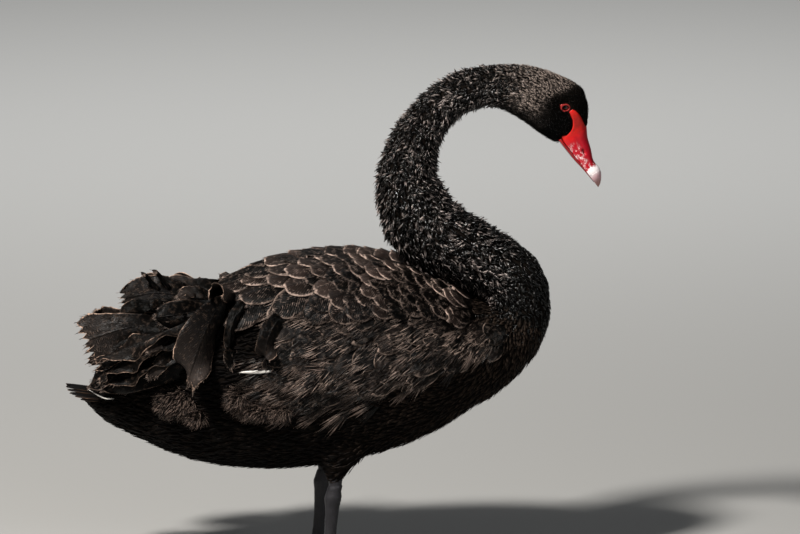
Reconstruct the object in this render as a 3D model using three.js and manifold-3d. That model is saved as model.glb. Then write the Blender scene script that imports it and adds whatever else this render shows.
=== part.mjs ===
// A black swan at life size. It stands on both webbed feet with its neck drawn back in an S over the
// shoulders, the head carried forward and the bill pointing steeply down, and the long inner wing
// feathers ruffled over the tail. All lengths are millimetres, +X is forward, +Z is up and the swan's
// left side is at +Y. The floor is z = 0, and the origin lies under the middle of the whole bird.
import * as THREE from "three";
import { mergeVertices } from "three/addons/utils/BufferGeometryUtils.js";
import Module from "manifold-3d";

const wasm = await Module();
wasm.setup();

// Clearance between neighbouring parts, and the depth that a fused root is sunk.
const GAP = 0.3;
const SUNK = 2.5;
const FINE = 0.05; // unevenness below which a cut face is evened out

// Torso
const TORSO_REAR = -231;
const TORSO_SIDES = 26;

// x, back line, level of the greatest width, belly line, half width
const BODY_STATIONS = [
  [-300, 216.5, 214, 210, 8],
  [-283, 213, 204, 190, 24],
  [-262, 219, 200, 169, 38],
  [-231, 246, 208, 152, 52],
  [-160, 306, 230, 123, 80],
  [-80, 351, 244, 113, 97],
  [0, 366, 250, 119, 103],
  [60, 362, 253, 133, 101],
  [120, 342, 259, 156, 90],
  [170, 316, 267, 189, 72],
  [215, 302, 275, 225, 52],
  [235, 292, 277, 250, 34],
  [242, 285, 279, 264, 20],
  [245.5, 281, 279, 273, 7],
];

// Neck and head centreline: x, z, slope in degrees, then the distance from it to the nape side, to
// the throat side and to either flank.
const NECK_STATIONS = [
  [201, 258, 72, 34, 36, 54],
  [213, 284, 83, 36, 37.5, 50],
  [217, 307, 88, 36, 36.5, 47],
  [208, 340, 126, 38, 37, 47],
  [166, 366, 151, 39, 38.5, 46],
  [140, 380, 155, 42.5, 41, 45],
  [112, 394, 138, 44, 44, 43],
  [94, 426, 115, 42, 42, 40],
  [85, 449.5, 98, 39, 39, 37],
  [87, 476, 80, 33.6, 33.6, 33],
  [94, 500, 66, 30, 30, 29.5],
  [109, 522.5, 51, 26.8, 26.8, 26.5],
  [136, 550, 31, 24.6, 24.6, 24.5],
  [170, 561.6, 11, 24.2, 24.2, 24],
  [192, 562.7, 3, 25.7, 25.7, 25],
];
const NECK_CUTS = [0, 4.5, 7.5, 10.5, 14];

const HEAD_STATIONS = [
  [192, 562.7, 3, 25.7, 25.7, 25],
  [206, 561.3, -9, 27.4, 26.5, 25.5],
  [222, 555.7, -25, 31.6, 27.6, 26.5],
  [240.4, 542.9, -38, 38, 26.5, 27.5],
  [258.8, 527.7, -48, 42.5, 26, 26.5],
  [271.4, 512.5, -55, 30.5, 21, 20.5],
  [277.2, 506.7, -60, 18.6, 18.4, 16.5],
];

// Bill: distance from its base along a line that slopes down, ridge, cutting edge, chin and half
// width, measured across that line.
const BILL_BASE = { x: 277.2, z: 506.7 };
const BILL_SLOPE = -60;
const BILL_STATIONS = [
  [0, 18.2, -13.8, -18, 16],
  [12.5, 12.3, -11.8, -16.3, 14.6],
  [26.7, 8.9, -10.2, -14, 13.6],
  [38, 4.9, -8, -11.2, 13.2],
  [43.5, 5, -7.4, -10, 13.3],
  [49, 7, -6.9, -8.8, 13],
  [56.7, 5.6, -6.1, -7.6, 11],
  [64.6, 0.4, -5.6, -6.7, 6.5],
  [68.2, -4.2, -5.3, -5.9, 1.6],
];
const NAIL_START = 50.5;
const LOWER_BILL_END = 61;
const NOSTRIL = { along: 23.5, across: 1.2, length: 10, width: 3.4, depth: 3 };

// Eye, its bare rim, and the bare skin between eye and bill
const EYE = { x: 268.9, z: 538.5, radius: 5.6, bulge: 2.4 };
const EYE_RIM = { radius: 5.3, thick: 1.5 };
const LORE_THICK = 0.9;
const LORE_LIFT = 0.8;
const LORE_REAR = [
  [273.4, 531.2],
  [276.9, 523.4],
  [276.3, 513.7],
  [272.1, 508.3],
  [263.6, 501.6],
];
const LORE_FRONT = [
  [277, 536.4],
  [282.8, 532.6],
  [287.5, 524.4],
  [290.1, 516.9],
  [290.6, 514.9],
];

// Legs. The left foot stands a little behind the right one.
const LEG_SIDE = 47;
const LEG_SHIFT = { left: -11, right: 3 };
const FOOT_TURN = 9;
const ANKLE_HEIGHT = 90;
const FEATHER_END = 104;
const FOOT_JOINT = { x: -7, height: 13 };

// Toes: turn from straight ahead in degrees (inner side positive), length, radius at root and tip
const TOES = {
  inner: { turn: 26, length: 82, root: 7, tip: 3.6 },
  middle: { turn: 1, length: 104, root: 7.5, tip: 3.8 },
  outer: { turn: -25, length: 99, root: 7, tip: 3.6 },
};
const HIND_TOE = { length: 19, root: 4.2, tip: 2.8, height: 17 };
const CLAW_LENGTH = 13;
const CLAW_SIDES = 7;
const WEB_THICK = 2.6;

// Folded wing: the bed that its coverts grow from
const WING = { front: 172, rear: -92, top: 4, bottom: 108, thin: 5, thick: 10 };
const COVERTS = { rows: 6, columns: 5, first: 142, spacing: 38, length: 50, longer: 6, wider: 1.26 };
const COVERT_LIE = { front: 28, rear: 9 };
const COVERT_RISE = { root: 1.5, tip: 7, tilt: 0.6, cup: 0.7 };
const VANE_THICK = { root: 0.9, tip: 0.6 };

// Bed of the ruffled inner flight feathers behind the wing, and below it the bed of the white ones
const FLIGHT = { rear: -190, bottom: 74, front_thick: 8, rear_thick: 5.5 };
const PRIMARIES = { rear: -176, bottom: 97, thick: 5.5, count: 4, length: 146, width: 16 };

// Ruffled feathers, from the ridge of the back down the side. Each has the place and turn of its
// root, the rise of its heading above level, its spread outwards, the roll of its face from up to
// outwards with the twist along its length, its length and width, the curl along its length, and
// the depth and number of the waves in its edges.
const RUFFLE = [
  {
    x: -100, turn: 13, rise: -6, spread: -1, roll: 8, twist: 0,
    length: 118, width: 38, curl: -28, ruffle: 4, waves: 1.4,
  },
  {
    x: -106, turn: 27, rise: 20, spread: 0, roll: 38, twist: -10,
    length: 98, width: 50, curl: -62, ruffle: 6, waves: 1.1,
  },
  {
    x: -122, turn: 34, rise: 3, spread: -3, roll: 62, twist: 8,
    length: 124, width: 52, curl: -22, ruffle: 5, waves: 1.5,
  },
  {
    x: -124, turn: 44, rise: -14, spread: -3, roll: 66, twist: 16,
    length: 160, width: 58, curl: -8, ruffle: 9, waves: 1.5,
  },
  {
    x: -116, turn: 52, rise: -23, spread: -1, roll: 20, twist: 0,
    length: 166, width: 38, curl: -2, ruffle: 6, waves: 2.4,
  },
  {
    x: -142, turn: 63, rise: -27, spread: 2, roll: 16, twist: 0,
    length: 126, width: 34, curl: -6, ruffle: 6, waves: 2,
  },
  {
    x: -104, turn: 60, rise: -57, spread: 22, roll: 88, twist: 0,
    length: 98, width: 54, curl: -6, ruffle: 3, waves: 1,
  },
];

// Tail fan
const TAIL = {
  count: 10, spread: 6.8, root: 20, x: -262, z: 208, rise: 13, length: 48, width: 18, step: 1.15,
};

const MATERIALS = {
  plumage: new THREE.MeshStandardMaterial({ color: 0x171210, roughness: 0.62, metalness: 0 }),
  coverts: new THREE.MeshStandardMaterial({ color: 0x2a211d, roughness: 0.55, metalness: 0 }),
  bill: new THREE.MeshStandardMaterial({ color: 0xc41410, roughness: 0.3, metalness: 0 }),
  nail: new THREE.MeshStandardMaterial({ color: 0xd9b8b4, roughness: 0.35, metalness: 0 }),
  eye: new THREE.MeshStandardMaterial({ color: 0x3a0d0a, roughness: 0.08, metalness: 0 }),
  leg: new THREE.MeshStandardMaterial({ color: 0x1b1c22, roughness: 0.5, metalness: 0 }),
  claw: new THREE.MeshStandardMaterial({ color: 0x0e0d0d, roughness: 0.4, metalness: 0 }),
  white: new THREE.MeshStandardMaterial({ color: 0xd9d6cf, roughness: 0.55, metalness: 0 }),
};

const vec = (x, y, z) => new THREE.Vector3(x, y, z);
const rad = THREE.MathUtils.degToRad;
const clamp = THREE.MathUtils.clamp;
const lerp = THREE.MathUtils.lerp;

THREE.MathUtils.seededRandom(11);
const random = (low, high) => lerp(low, high, THREE.MathUtils.seededRandom());

// Solids

// A solid from points and triangles, turned to face outwards.
function solid(points, faces) {
  const build = (list) =>
    new wasm.Manifold(
      new wasm.Mesh({
        numProp: 3,
        vertProperties: new Float32Array(points.flatMap((p) => p.toArray())),
        triVerts: new Uint32Array(list.flat()),
      }),
    );
  const made = build(faces);
  return made.volume() < 0 ? build(faces.map(([a, b, c]) => [a, c, b])) : made;
}

// A solid from one of three's own closed geometries.
function solidOf(geometry) {
  const bare = geometry.index ? geometry.toNonIndexed() : geometry.clone();
  bare.deleteAttribute("normal");
  bare.deleteAttribute("uv");
  const merged = mergeVertices(bare, 1e-4);
  const place = merged.attributes.position;
  const points = Array.from({ length: place.count }, (_, i) => vec().fromBufferAttribute(place, i));
  const index = merged.index.array;
  const faces = [];
  for (let i = 0; i < index.length; i += 3) {
    const [a, b, c] = index.subarray(i, i + 3);
    if (a !== b && b !== c && a !== c) faces.push([a, b, c]);
  }
  return solid(points, faces);
}

// A closed skin over rings of points, with a fan of triangles over each end.
function loft(rings) {
  const sides = rings[0].length;
  const points = rings.flat();
  const faces = [];
  for (let r = 0; r + 1 < rings.length; r++)
    for (let i = 0; i < sides; i++) {
      const j = (i + 1) % sides;
      const a = r * sides + i;
      const b = r * sides + j;
      faces.push([a, b, a + sides], [b, b + sides, a + sides]);
    }
  const cap = (ring, first, turn) => {
    const middle = ring.reduce((sum, p) => sum.add(p), vec(0, 0, 0)).divideScalar(sides);
    const centre = points.push(middle) - 1;
    for (let i = 0; i < sides; i++) {
      const edge = [first + i, first + ((i + 1) % sides)];
      faces.push(turn ? [edge[0], edge[1], centre] : [edge[1], edge[0], centre]);
    }
  };
  cap(rings[0], 0, false);
  cap(rings.at(-1), (rings.length - 1) * sides, true);
  return solid(points, faces);
}

// A plate between two surfaces over one grid, split into triangles alike on both faces. Each surface
// is a function of two shares, across and along.
function plate(across, along, outer, inner) {
  const row = across + 1;
  const one = row * (along + 1);
  const points = [];
  for (const face of [outer, inner])
    for (let j = 0; j <= along; j++)
      for (let i = 0; i <= across; i++) points.push(face(i / across, j / along));
  const faces = [];
  for (let j = 0; j < along; j++)
    for (let i = 0; i < across; i++) {
      const a = j * row + i;
      const [b, c, d] = [a + 1, a + row, a + row + 1];
      faces.push([a, b, c], [b, d, c], [a + one, c + one, b + one], [b + one, c + one, d + one]);
    }
  const rim = [];
  for (let i = 0; i < across; i++) rim.push(i);
  for (let j = 0; j < along; j++) rim.push(j * row + across);
  for (let i = across; i > 0; i--) rim.push(along * row + i);
  for (let j = along; j > 0; j--) rim.push(j * row);
  rim.forEach((a, k) => {
    const b = rim[(k + 1) % rim.length];
    faces.push([b, a, a + one], [b, a + one, b + one]);
  });
  return solid(points, faces);
}

const join = (solids) => wasm.Manifold.union(solids);
const largest = (made) => made.decompose().reduce((a, b) => (b.volume() > a.volume() ? b : a));
const clearOf = (made, neighbours) => neighbours.reduce((rest, n) => rest.subtract(n), made);

// Surfaces

// Smooth values between stations: each row holds the place, then its values.
function stations(rows) {
  const spline = new THREE.CubicInterpolant(
    rows.map((row) => row[0]),
    rows.flatMap((row) => row.slice(1)),
    rows[0].length - 1,
    new Array(rows[0].length - 1),
  );
  return (at) => [...spline.evaluate(at)];
}
const numbered = (rows) => stations(rows.map((row, i) => [i, ...row]));

const bodyAt = stations(BODY_STATIONS);

// A point of the body's outline at x, turned from the back line towards one side, in degrees.
function bodyOutline(x, turn) {
  const [back, level, belly, half] = bodyAt(x);
  const [s, c] = [Math.sin(rad(turn)), Math.cos(rad(turn))];
  const full = (v) => Math.sign(v) * Math.abs(v) ** 0.94;
  return vec(x, half * full(s), level + (c > 0 ? back - level : level - belly) * full(c));
}

function bodyNormal(x, turn) {
  const forward = bodyOutline(x + 1, turn).sub(bodyOutline(x - 1, turn));
  const round = bodyOutline(x, turn + 1).sub(bodyOutline(x, turn - 1));
  return forward.cross(round).normalize();
}

// The same point, raised off the surface.
function bodyPoint(x, turn, raised = 0) {
  return bodyOutline(x, turn).addScaledVector(bodyNormal(x, turn), raised);
}

const steps = (from, to, count) =>
  Array.from({ length: count + 1 }, (_, i) => lerp(from, to, i / count));
const torsoRings = [...steps(TORSO_REAR, 196, 12), 212, 226, 237, 245];

function bodySolid(places, raised, sides = TORSO_SIDES) {
  const ring = (x) =>
    Array.from({ length: sides }, (_, i) => bodyPoint(x, (i * 360) / sides, raised));
  return loft(places.map(ring));
}

// A ring across a centreline that lies in an upright plane.
function crossRing([x, z, slope, nape, throat, flank], sides, raised = 0, y = 0) {
  const up = vec(-Math.sin(rad(slope)), 0, Math.cos(rad(slope)));
  return Array.from({ length: sides }, (_, i) => {
    const turn = (i * 2 * Math.PI) / sides;
    const high = Math.cos(turn) > 0 ? nape : throat;
    return vec(x, y, z)
      .addScaledVector(up, (high + raised) * Math.cos(turn))
      .add(vec(0, (flank + raised) * Math.sin(turn), 0));
  });
}

const neckAt = numbered(NECK_STATIONS);
const headAt = numbered(HEAD_STATIONS);
const NECK_SIDES = 18;
const HEAD_SIDES = 20;
const HEAD_END = HEAD_STATIONS.length - 1;

function neckSolid(from, to, raised = 0) {
  const places = steps(from, to, Math.round((to - from) * 2.1));
  return loft(places.map((t) => crossRing(neckAt(t), NECK_SIDES, raised)));
}

// A point of the head's surface at a station, turned from the crown in radians.
function headPoint(t, turn, raised = 0) {
  const [x, z, slope, nape, throat, flank] = headAt(t);
  const up = vec(-Math.sin(rad(slope)), 0, Math.cos(rad(slope)));
  const high = Math.cos(turn) > 0 ? nape : throat;
  return vec(x, 0, z)
    .addScaledVector(up, (high + raised) * Math.cos(turn))
    .add(vec(0, (flank + raised) * Math.sin(turn), 0));
}

function headSolid(from, raised = 0) {
  const places = [from, 0.5, 1, 1.5, 2, 2.5, 3, 3.5, 4, 4.5, ...steps(5, HEAD_END, 5)];
  return loft(places.map((t) => crossRing(headAt(t), HEAD_SIDES, raised)));
}

// Body, neck and head

const torso = bodySolid(torsoRings, 0);
const torsoRoom = bodySolid([TORSO_REAR - 4, ...torsoRings.slice(1)], GAP);
const neckRoom = neckSolid(0, 6, GAP);

const neckShare = 0.012; // a gap of 0.3 mm along the neck, as a share of one station
const neckParts = NECK_CUTS.slice(1).map((end, i) => {
  const start = NECK_CUTS[i] + (i ? neckShare : 0);
  return largest(neckSolid(start, end).subtract(torsoRoom).simplify(FINE));
});

const LORE_END = HEAD_END - 0.05; // the bare skin stops just short of the bill
const headStart = 0.02; // a gap of 0.3 mm behind the head, as a share of one station
const headSkin = headSolid(headStart);

// How far the head's flank stands out at a place seen from the side.
function headFlank(place) {
  const ray = solidOf(new THREE.BoxGeometry(1, 100, 1).translate(place.x, 50, place.z));
  return headSkin.intersect(ray).boundingBox().max[1];
}

const eyeSide = headFlank(EYE) + EYE.bulge - EYE.radius;
const eyeAt = (side) => vec(EYE.x, side * eyeSide, EYE.z);

function eyeSolid(side, raised = 0) {
  const ball = new THREE.SphereGeometry(EYE.radius + raised, 14, 8);
  const place = eyeAt(side);
  return solidOf(ball.rotateX(Math.PI / 2).translate(place.x, place.y, place.z));
}

const headRoom = headSolid(0, GAP);
const sockets = [eyeSolid(1, GAP), eyeSolid(-1, GAP)];
const head = largest(clearOf(headSkin, sockets).simplify(FINE));

// The bare rim of the lids: a ring on the head's surface round the eye.
function eyeRim(side) {
  const ring = new THREE.TorusGeometry(EYE_RIM.radius, EYE_RIM.thick, 5, 14);
  const place = eyeAt(side);
  const out = side * (EYE.radius - EYE.bulge + 0.4);
  const made = solidOf(ring.rotateX(Math.PI / 2).translate(place.x, place.y + out, place.z));
  return largest(clearOf(made, [headRoom, eyeSolid(side, GAP)]).simplify(FINE));
}

// The place on the head's surface that is seen at a point from the side, as a station and a turn.
function headPlace([x, z]) {
  let [t, turn] = [HEAD_END - 1, 1.2];
  for (let i = 0; i < 20; i++) {
    const here = headPoint(t, turn);
    const along = headPoint(t + 0.01, turn).sub(here).divideScalar(0.01);
    const round = headPoint(t, turn + 0.01).sub(here).divideScalar(0.01);
    const area = along.x * round.z - along.z * round.x;
    const [dx, dz] = [x - here.x, z - here.z];
    t += clamp((dx * round.z - dz * round.x) / area, -0.5, 0.5);
    turn += clamp((along.x * dz - along.z * dx) / area, -0.3, 0.3);
    t = clamp(t, 0, LORE_END);
    turn = clamp(turn, 0.2, Math.PI - 0.2);
  }
  return [t, turn];
}

// The bare skin from the eye to the bill, as a thin plate on the head between two drawn edges.
function lore(side) {
  const [rear, front] = [LORE_REAR, LORE_FRONT].map((edge) => numbered(edge));
  const rows = LORE_REAR.length - 1;
  const sheet = (raised) => (u, v) => {
    const [a, b] = [headPlace(rear(v * rows)), headPlace(front(v * rows))];
    return headPoint(lerp(a[0], b[0], u), side * lerp(a[1], b[1], u), raised);
  };
  return plate(6, 7, sheet(LORE_LIFT + LORE_THICK), sheet(LORE_LIFT));
}

// Bill

const billAt = stations(BILL_STATIONS);
const BILL_SIDES = 14;

// A ring of the bill at a distance from its base, between two heights across its line.
function billRing(along, high, low, level, half) {
  const slope = rad(BILL_SLOPE);
  const forward = vec(Math.cos(slope), 0, Math.sin(slope));
  const up = vec(-Math.sin(slope), 0, Math.cos(slope));
  return Array.from({ length: BILL_SIDES }, (_, i) => {
    const turn = (i * 2 * Math.PI) / BILL_SIDES;
    const reach = Math.cos(turn) > 0 ? high - level : level - low;
    return vec(BILL_BASE.x, 0, BILL_BASE.z)
      .addScaledVector(forward, along)
      .addScaledVector(up, level + reach * Math.cos(turn))
      .add(vec(0, half * Math.sin(turn), 0));
  });
}

const flatEdge = 0.5; // the upper half closes a little below its cutting edge

function upperBill(from, to, count, raised = 0) {
  const ring = (along) => {
    const [ridge, edge, , half] = billAt(along);
    return billRing(along, ridge + raised, edge - flatEdge - raised, edge, half + raised);
  };
  return loft(steps(from, to, count).map(ring));
}

function lowerBill(from, to, count) {
  const ring = (along) => {
    const [, edge, chin, half] = billAt(along);
    const top = edge - flatEdge - GAP;
    const wide = (half - 1.2) * (along > 55 ? (63 - along) / 8 : 1);
    return billRing(along, top, Math.min(chin, top - 1), top - 0.2, wide);
  };
  return loft(steps(from, to, count).map(ring));
}

function billPoint(along, across, side, out) {
  const slope = rad(BILL_SLOPE);
  const x = BILL_BASE.x + along * Math.cos(slope) - across * Math.sin(slope);
  const z = BILL_BASE.z + along * Math.sin(slope) + across * Math.cos(slope);
  return vec(x, side * out, z);
}

function nostril(side) {
  const pit = new THREE.SphereGeometry(1, 8, 6);
  pit.scale(NOSTRIL.length / 2, NOSTRIL.depth, NOSTRIL.width / 2);
  pit.rotateY(-rad(BILL_SLOPE));
  const place = billPoint(NOSTRIL.along, NOSTRIL.across, side, 11.8);
  return solidOf(pit.translate(place.x, place.y, place.z));
}

const billUpper = clearOf(upperBill(GAP, NAIL_START, 8), [nostril(1), nostril(-1)]);
const billNail = upperBill(NAIL_START + GAP, BILL_STATIONS.at(-1)[0], 5);
const billLower = lowerBill(GAP, LOWER_BILL_END, 8);

// Legs and feet

const legX = (side) => (side > 0 ? LEG_SHIFT.left : LEG_SHIFT.right);

function thigh(side) {
  const x = legX(side);
  const rows = [
    [x + 16, 172, -86, 46, 44, 30],
    [x + 12, 142, -84, 36, 34, 27],
    [x + 7, 124, -82, 23, 23, 20],
    [x + 3, 112, -84, 14, 14, 13],
    [x + 2, FEATHER_END, -88, 10.5, 10.5, 10.5],
  ];
  const at = numbered(rows);
  const rings = steps(0, rows.length - 1, 8).map((t) =>
    crossRing(at(t), 14, 0, side * LEG_SIDE),
  );
  return largest(clearOf(loft(rings), [torsoRoom]));
}

// The bare leg from the feathering down to the foot, with its knob at the ankle.
function tarsus(side) {
  const x = legX(side);
  const joint = FOOT_JOINT;
  const rows = [
    [x + 2, FEATHER_END - GAP, -88, 8.6, 8.6, 8.2],
    [x, ANKLE_HEIGHT + 7, -86, 8.8, 8.8, 8.4],
    [x - 1, ANKLE_HEIGHT, -88, 10.6, 10, 9.4],
    [x - 1.5, ANKLE_HEIGHT - 10, -90, 8.2, 8.4, 7.6],
    [x - 3, 55, -92, 6.6, 7.2, 5.8],
    [x - 5, 30, -93, 6.8, 7.2, 6],
    [x + joint.x, joint.height + 6.5 + GAP, -92, 8, 8.4, 7.4],
  ];
  const at = numbered(rows);
  const rings = steps(0, rows.length - 1, 10).map((t) =>
    crossRing(at(t), 12, 0, side * LEG_SIDE),
  );
  return loft(rings);
}

// Frame of one foot: where its joint is, and the heading of a toe.
function toeHeading(side, turn) {
  const heading = rad(side * (FOOT_TURN - turn));
  return vec(Math.cos(heading), Math.sin(heading), 0);
}

const footJoint = (side) => vec(legX(side) + FOOT_JOINT.x, side * LEG_SIDE, 0);

// A tapered bar lying on the floor, flat below, with a knuckle at each joint.
function toeSolid(start, heading, from, length, root, tip, knuckles, sides = 8) {
  const across = vec(-heading.y, heading.x, 0);
  const rings = steps(from, length, 9).map((d) => {
    const share = d / length;
    const size = lerp(root, tip, share) + 0.7 * Math.cos(share * knuckles * 2 * Math.PI);
    return Array.from({ length: sides }, (_, i) => {
      const turn = (i * 2 * Math.PI) / sides;
      return start
        .clone()
        .addScaledVector(heading, d)
        .addScaledVector(across, size * Math.sin(turn))
        .add(vec(0, 0, size * (0.72 + 0.86 * Math.cos(turn))));
    });
  });
  return loft(rings);
}

const middle = solidOf(new THREE.BoxGeometry(1000, GAP, 1000));
const floorSide = solidOf(new THREE.BoxGeometry(1000, 1000, 400).translate(0, 0, 200));

// The web between two toes, with its free edge drawn in.
function web(side, first, second) {
  const start = footJoint(side);
  const [a, b] = [first, second].map((toe) => toeHeading(side, toe.turn));
  const sheet = (height) => (across, along) => {
    const far = lerp(first.length, second.length, across) - 6;
    const edge = far - 26 * Math.sin(Math.PI * across);
    const heading = a.clone().lerp(b, across).normalize();
    const out = lerp(4, edge, along);
    return start.clone().addScaledVector(heading, out).add(vec(0, 0, height));
  };
  return plate(5, 5, sheet(WEB_THICK), sheet(0));
}

function foot(side) {
  const start = footJoint(side);
  const toes = Object.values(TOES).map((toe) =>
    toeSolid(start, toeHeading(side, toe.turn), -2, toe.length, toe.root, toe.tip, 3),
  );
  const rest = Object.values(TOES);
  const knob = new THREE.SphereGeometry(1, 14, 10).rotateX(Math.PI / 2);
  knob.scale(10.5, 9.5, FOOT_JOINT.height * 2);
  knob.translate(start.x, start.y, 0);
  const heel = hindToe(side, 0, HIND_TOE.length);
  const made = join([
    ...toes,
    web(side, rest[0], rest[1]),
    web(side, rest[1], rest[2]),
    solidOf(knob),
    heel,
  ]);
  const top = FOOT_JOINT.height + 6.5;
  const under = solidOf(new THREE.BoxGeometry(400, 400, top).translate(start.x, start.y, top / 2));
  return largest(made.intersect(floorSide).intersect(under).simplify(FINE));
}

// The small raised hind toe, which doesn't touch the floor.
function hindToe(side, from, to) {
  const start = footJoint(side).add(vec(-2, 0, HIND_TOE.height - 6));
  const heading = vec(-0.92, -side * 0.28, 0).normalize();
  const rings = steps(from, to, 3).map((d) => {
    const size = lerp(HIND_TOE.root, HIND_TOE.tip, d / HIND_TOE.length);
    const across = vec(-heading.y, heading.x, 0);
    return Array.from({ length: CLAW_SIDES }, (_, i) => {
      const turn = (i * 2 * Math.PI) / CLAW_SIDES;
      return start
        .clone()
        .addScaledVector(heading, d)
        .addScaledVector(across, size * Math.sin(turn))
        .add(vec(0, 0, size * Math.cos(turn) - d * 0.12));
    });
  });
  return loft(rings);
}

// A claw: a cone that curves down to the floor from the end of its toe.
function claw(side, toe) {
  const start = footJoint(side);
  const heading = toeHeading(side, toe.turn);
  const across = vec(-heading.y, heading.x, 0);
  const rings = steps(0, 1, 3).map((share) => {
    const size = lerp(toe.tip * 0.8, 0.5, share);
    const height = lerp(toe.tip * 0.85, size, share);
    return Array.from({ length: CLAW_SIDES }, (_, i) => {
      const turn = (i * 2 * Math.PI) / CLAW_SIDES;
      return start
        .clone()
        .addScaledVector(heading, toe.length + GAP + CLAW_LENGTH * share)
        .addScaledVector(across, size * 0.8 * Math.sin(turn))
        .add(vec(0, 0, height + size * Math.cos(turn)));
    });
  });
  return largest(loft(rings).intersect(floorSide));
}

function hindClaw(side) {
  const start = footJoint(side).add(vec(-2, 0, HIND_TOE.height - 6));
  const heading = vec(-0.92, -side * 0.28, 0).normalize();
  const across = vec(-heading.y, heading.x, 0);
  const rings = steps(0, 1, 3).map((share) => {
    const size = lerp(HIND_TOE.tip * 0.8, 0.5, share);
    const out = HIND_TOE.length + GAP + 8 * share;
    return Array.from({ length: CLAW_SIDES }, (_, i) => {
      const turn = (i * 2 * Math.PI) / CLAW_SIDES;
      return start
        .clone()
        .addScaledVector(heading, out)
        .addScaledVector(across, size * Math.sin(turn))
        .add(vec(0, 0, size * Math.cos(turn) - out * 0.12 - 2.5 * share ** 2));
    });
  });
  return loft(rings);
}

// Feathers

const VANE_PLACES = [0, 0.22, 0.44, 0.64, 0.82, 0.94, 1];
const STRAIGHT_PLACES = [0, 0.5, 0.82, 1];
const COVERT_PLACES = [0, 0.3, 0.78, 1];
const vaneThick = (at) => lerp(VANE_THICK.root, VANE_THICK.tip, at);

// Width at a share of the length: widening from the root, then rounded off at the tip.
function vaneWidth(at, width) {
  const widening = lerp(0.45, 1, Math.min(1, at / 0.6));
  const rounding = Math.sqrt(1 - 0.8 * Math.max(0, (at - 0.68) / 0.32) ** 2);
  return width * widening * rounding;
}

// A feather on the side of the body: a thin plate from a root, along its heading. It may be grown.
function vane(side, start, shape, places, across, grown = 0) {
  const { rise, spread, roll, length, width } = shape;
  const { twist = 0, curl = 0, ruffle = 0, waves = 0 } = shape;
  const heading = (at) => {
    const pitch = rad(rise + curl * at * at);
    const level = Math.cos(rad(spread));
    return vec(-level * Math.cos(pitch), side * Math.sin(rad(spread)), level * Math.sin(pitch));
  };
  const centre = [start.clone().addScaledVector(heading(0), -grown)];
  places.slice(1).forEach((at, i) => {
    const way = heading((at + places[i]) / 2).multiplyScalar((length + 2 * grown) * (at - places[i]));
    centre.push(centre[i].clone().add(way));
  });
  const point = (u, v, depth) => {
    const i = Math.round(v * (places.length - 1));
    const at = places[i];
    const head = heading(at);
    const turned = rad(roll + twist * at);
    const up = vec(0, 0, 1).projectOnPlane(head).normalize();
    const out = vec(0, side, 0).projectOnPlane(up).projectOnPlane(head).normalize();
    const face = up.multiplyScalar(Math.cos(turned)).addScaledVector(out, Math.sin(turned));
    const edge = 2 * u - 1;
    const wave = Math.sin(2 * Math.PI * waves * at + edge) * Math.abs(edge) ** 1.5;
    const relief = ruffle * wave * Math.min(1, 2 * at);
    return centre[i]
      .clone()
      .addScaledVector(face.clone().cross(head), (edge * (vaneWidth(at, width) + 2 * grown)) / 2)
      .addScaledVector(face, relief - depth(at));
  };
  const outer = (u, v) => point(u, v, () => -grown);
  const inner = (u, v) => point(u, v, (at) => vaneThick(at) + grown);
  return plate(across, places.length - 1, outer, inner);
}

// A bed on the body's side between two places and two turns, from which feathers grow.
function bed(side, front, rear, top, bottom, rise, across, along) {
  const face = (height) => (u, v) => {
    const x = lerp(front, rear, v);
    const turn = lerp(top(v), bottom(v), u);
    return bodyPoint(x, side * turn, height(x, turn));
  };
  return plate(across, along, face(rise), face(() => -SUNK));
}

// Wings

const wingTop = (v) => WING.top + 30 * (1 - v) ** 2;
const wingBottom = (v) => WING.bottom - 22 * (1 - v) ** 3 - 11 * v ** 3;

// How far the folded wing stands off the body: full in the middle, thin at every edge.
function wingRise(x, turn) {
  const lengthways = clamp((x - WING.rear + 60) / (WING.front - WING.rear + 60), 0, 1);
  const round = clamp((turn - WING.top) / (WING.bottom - WING.top), 0, 1);
  const swell = Math.sin(Math.PI * lengthways ** 1.15) ** 0.7;
  return lerp(WING.thin, WING.thick, swell * (0.6 + 0.4 * Math.sin(Math.PI * round) ** 0.8));
}

function wingBed(side, grown = 0) {
  const rise = (x, turn) => wingRise(x, turn) + grown;
  return bed(side, WING.front, WING.rear - grown, wingTop, wingBottom, rise, 7, 9);
}

// A covert: a scale just above the wing's bed, sunk into it at its root and raised at its tip.
function covert(side, x, turn, length, apart, lie) {
  const along = COVERT_PLACES.length - 1;
  const perDegree = bodyOutline(x, turn + 0.5).distanceTo(bodyOutline(x, turn - 0.5));
  const width = COVERTS.wider * apart * perDegree;
  const point = (u, v, depth) => {
    const at = COVERT_PLACES[Math.round(v * along)];
    const edge = 2 * u - 1;
    const out = length * at;
    const wide = (edge * vaneWidth(at, width)) / 2;
    const toX = x - out * Math.cos(lie) + wide * Math.sin(lie);
    const toTurn = turn + (out * Math.sin(lie) + wide * Math.cos(lie)) / perDegree;
    const relief = COVERT_RISE.tilt * edge - COVERT_RISE.cup * edge * edge;
    const lift = lerp(COVERT_RISE.root, COVERT_RISE.tip, at) + relief;
    return bodyPoint(toX, side * toTurn, wingRise(toX, toTurn) + lift - depth(at));
  };
  const underside = (at) => (at > 0 ? vaneThick(at) : COVERT_RISE.root + SUNK);
  return plate(2, along, (u, v) => point(u, v, () => 0), (u, v) => point(u, v, underside));
}

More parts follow.
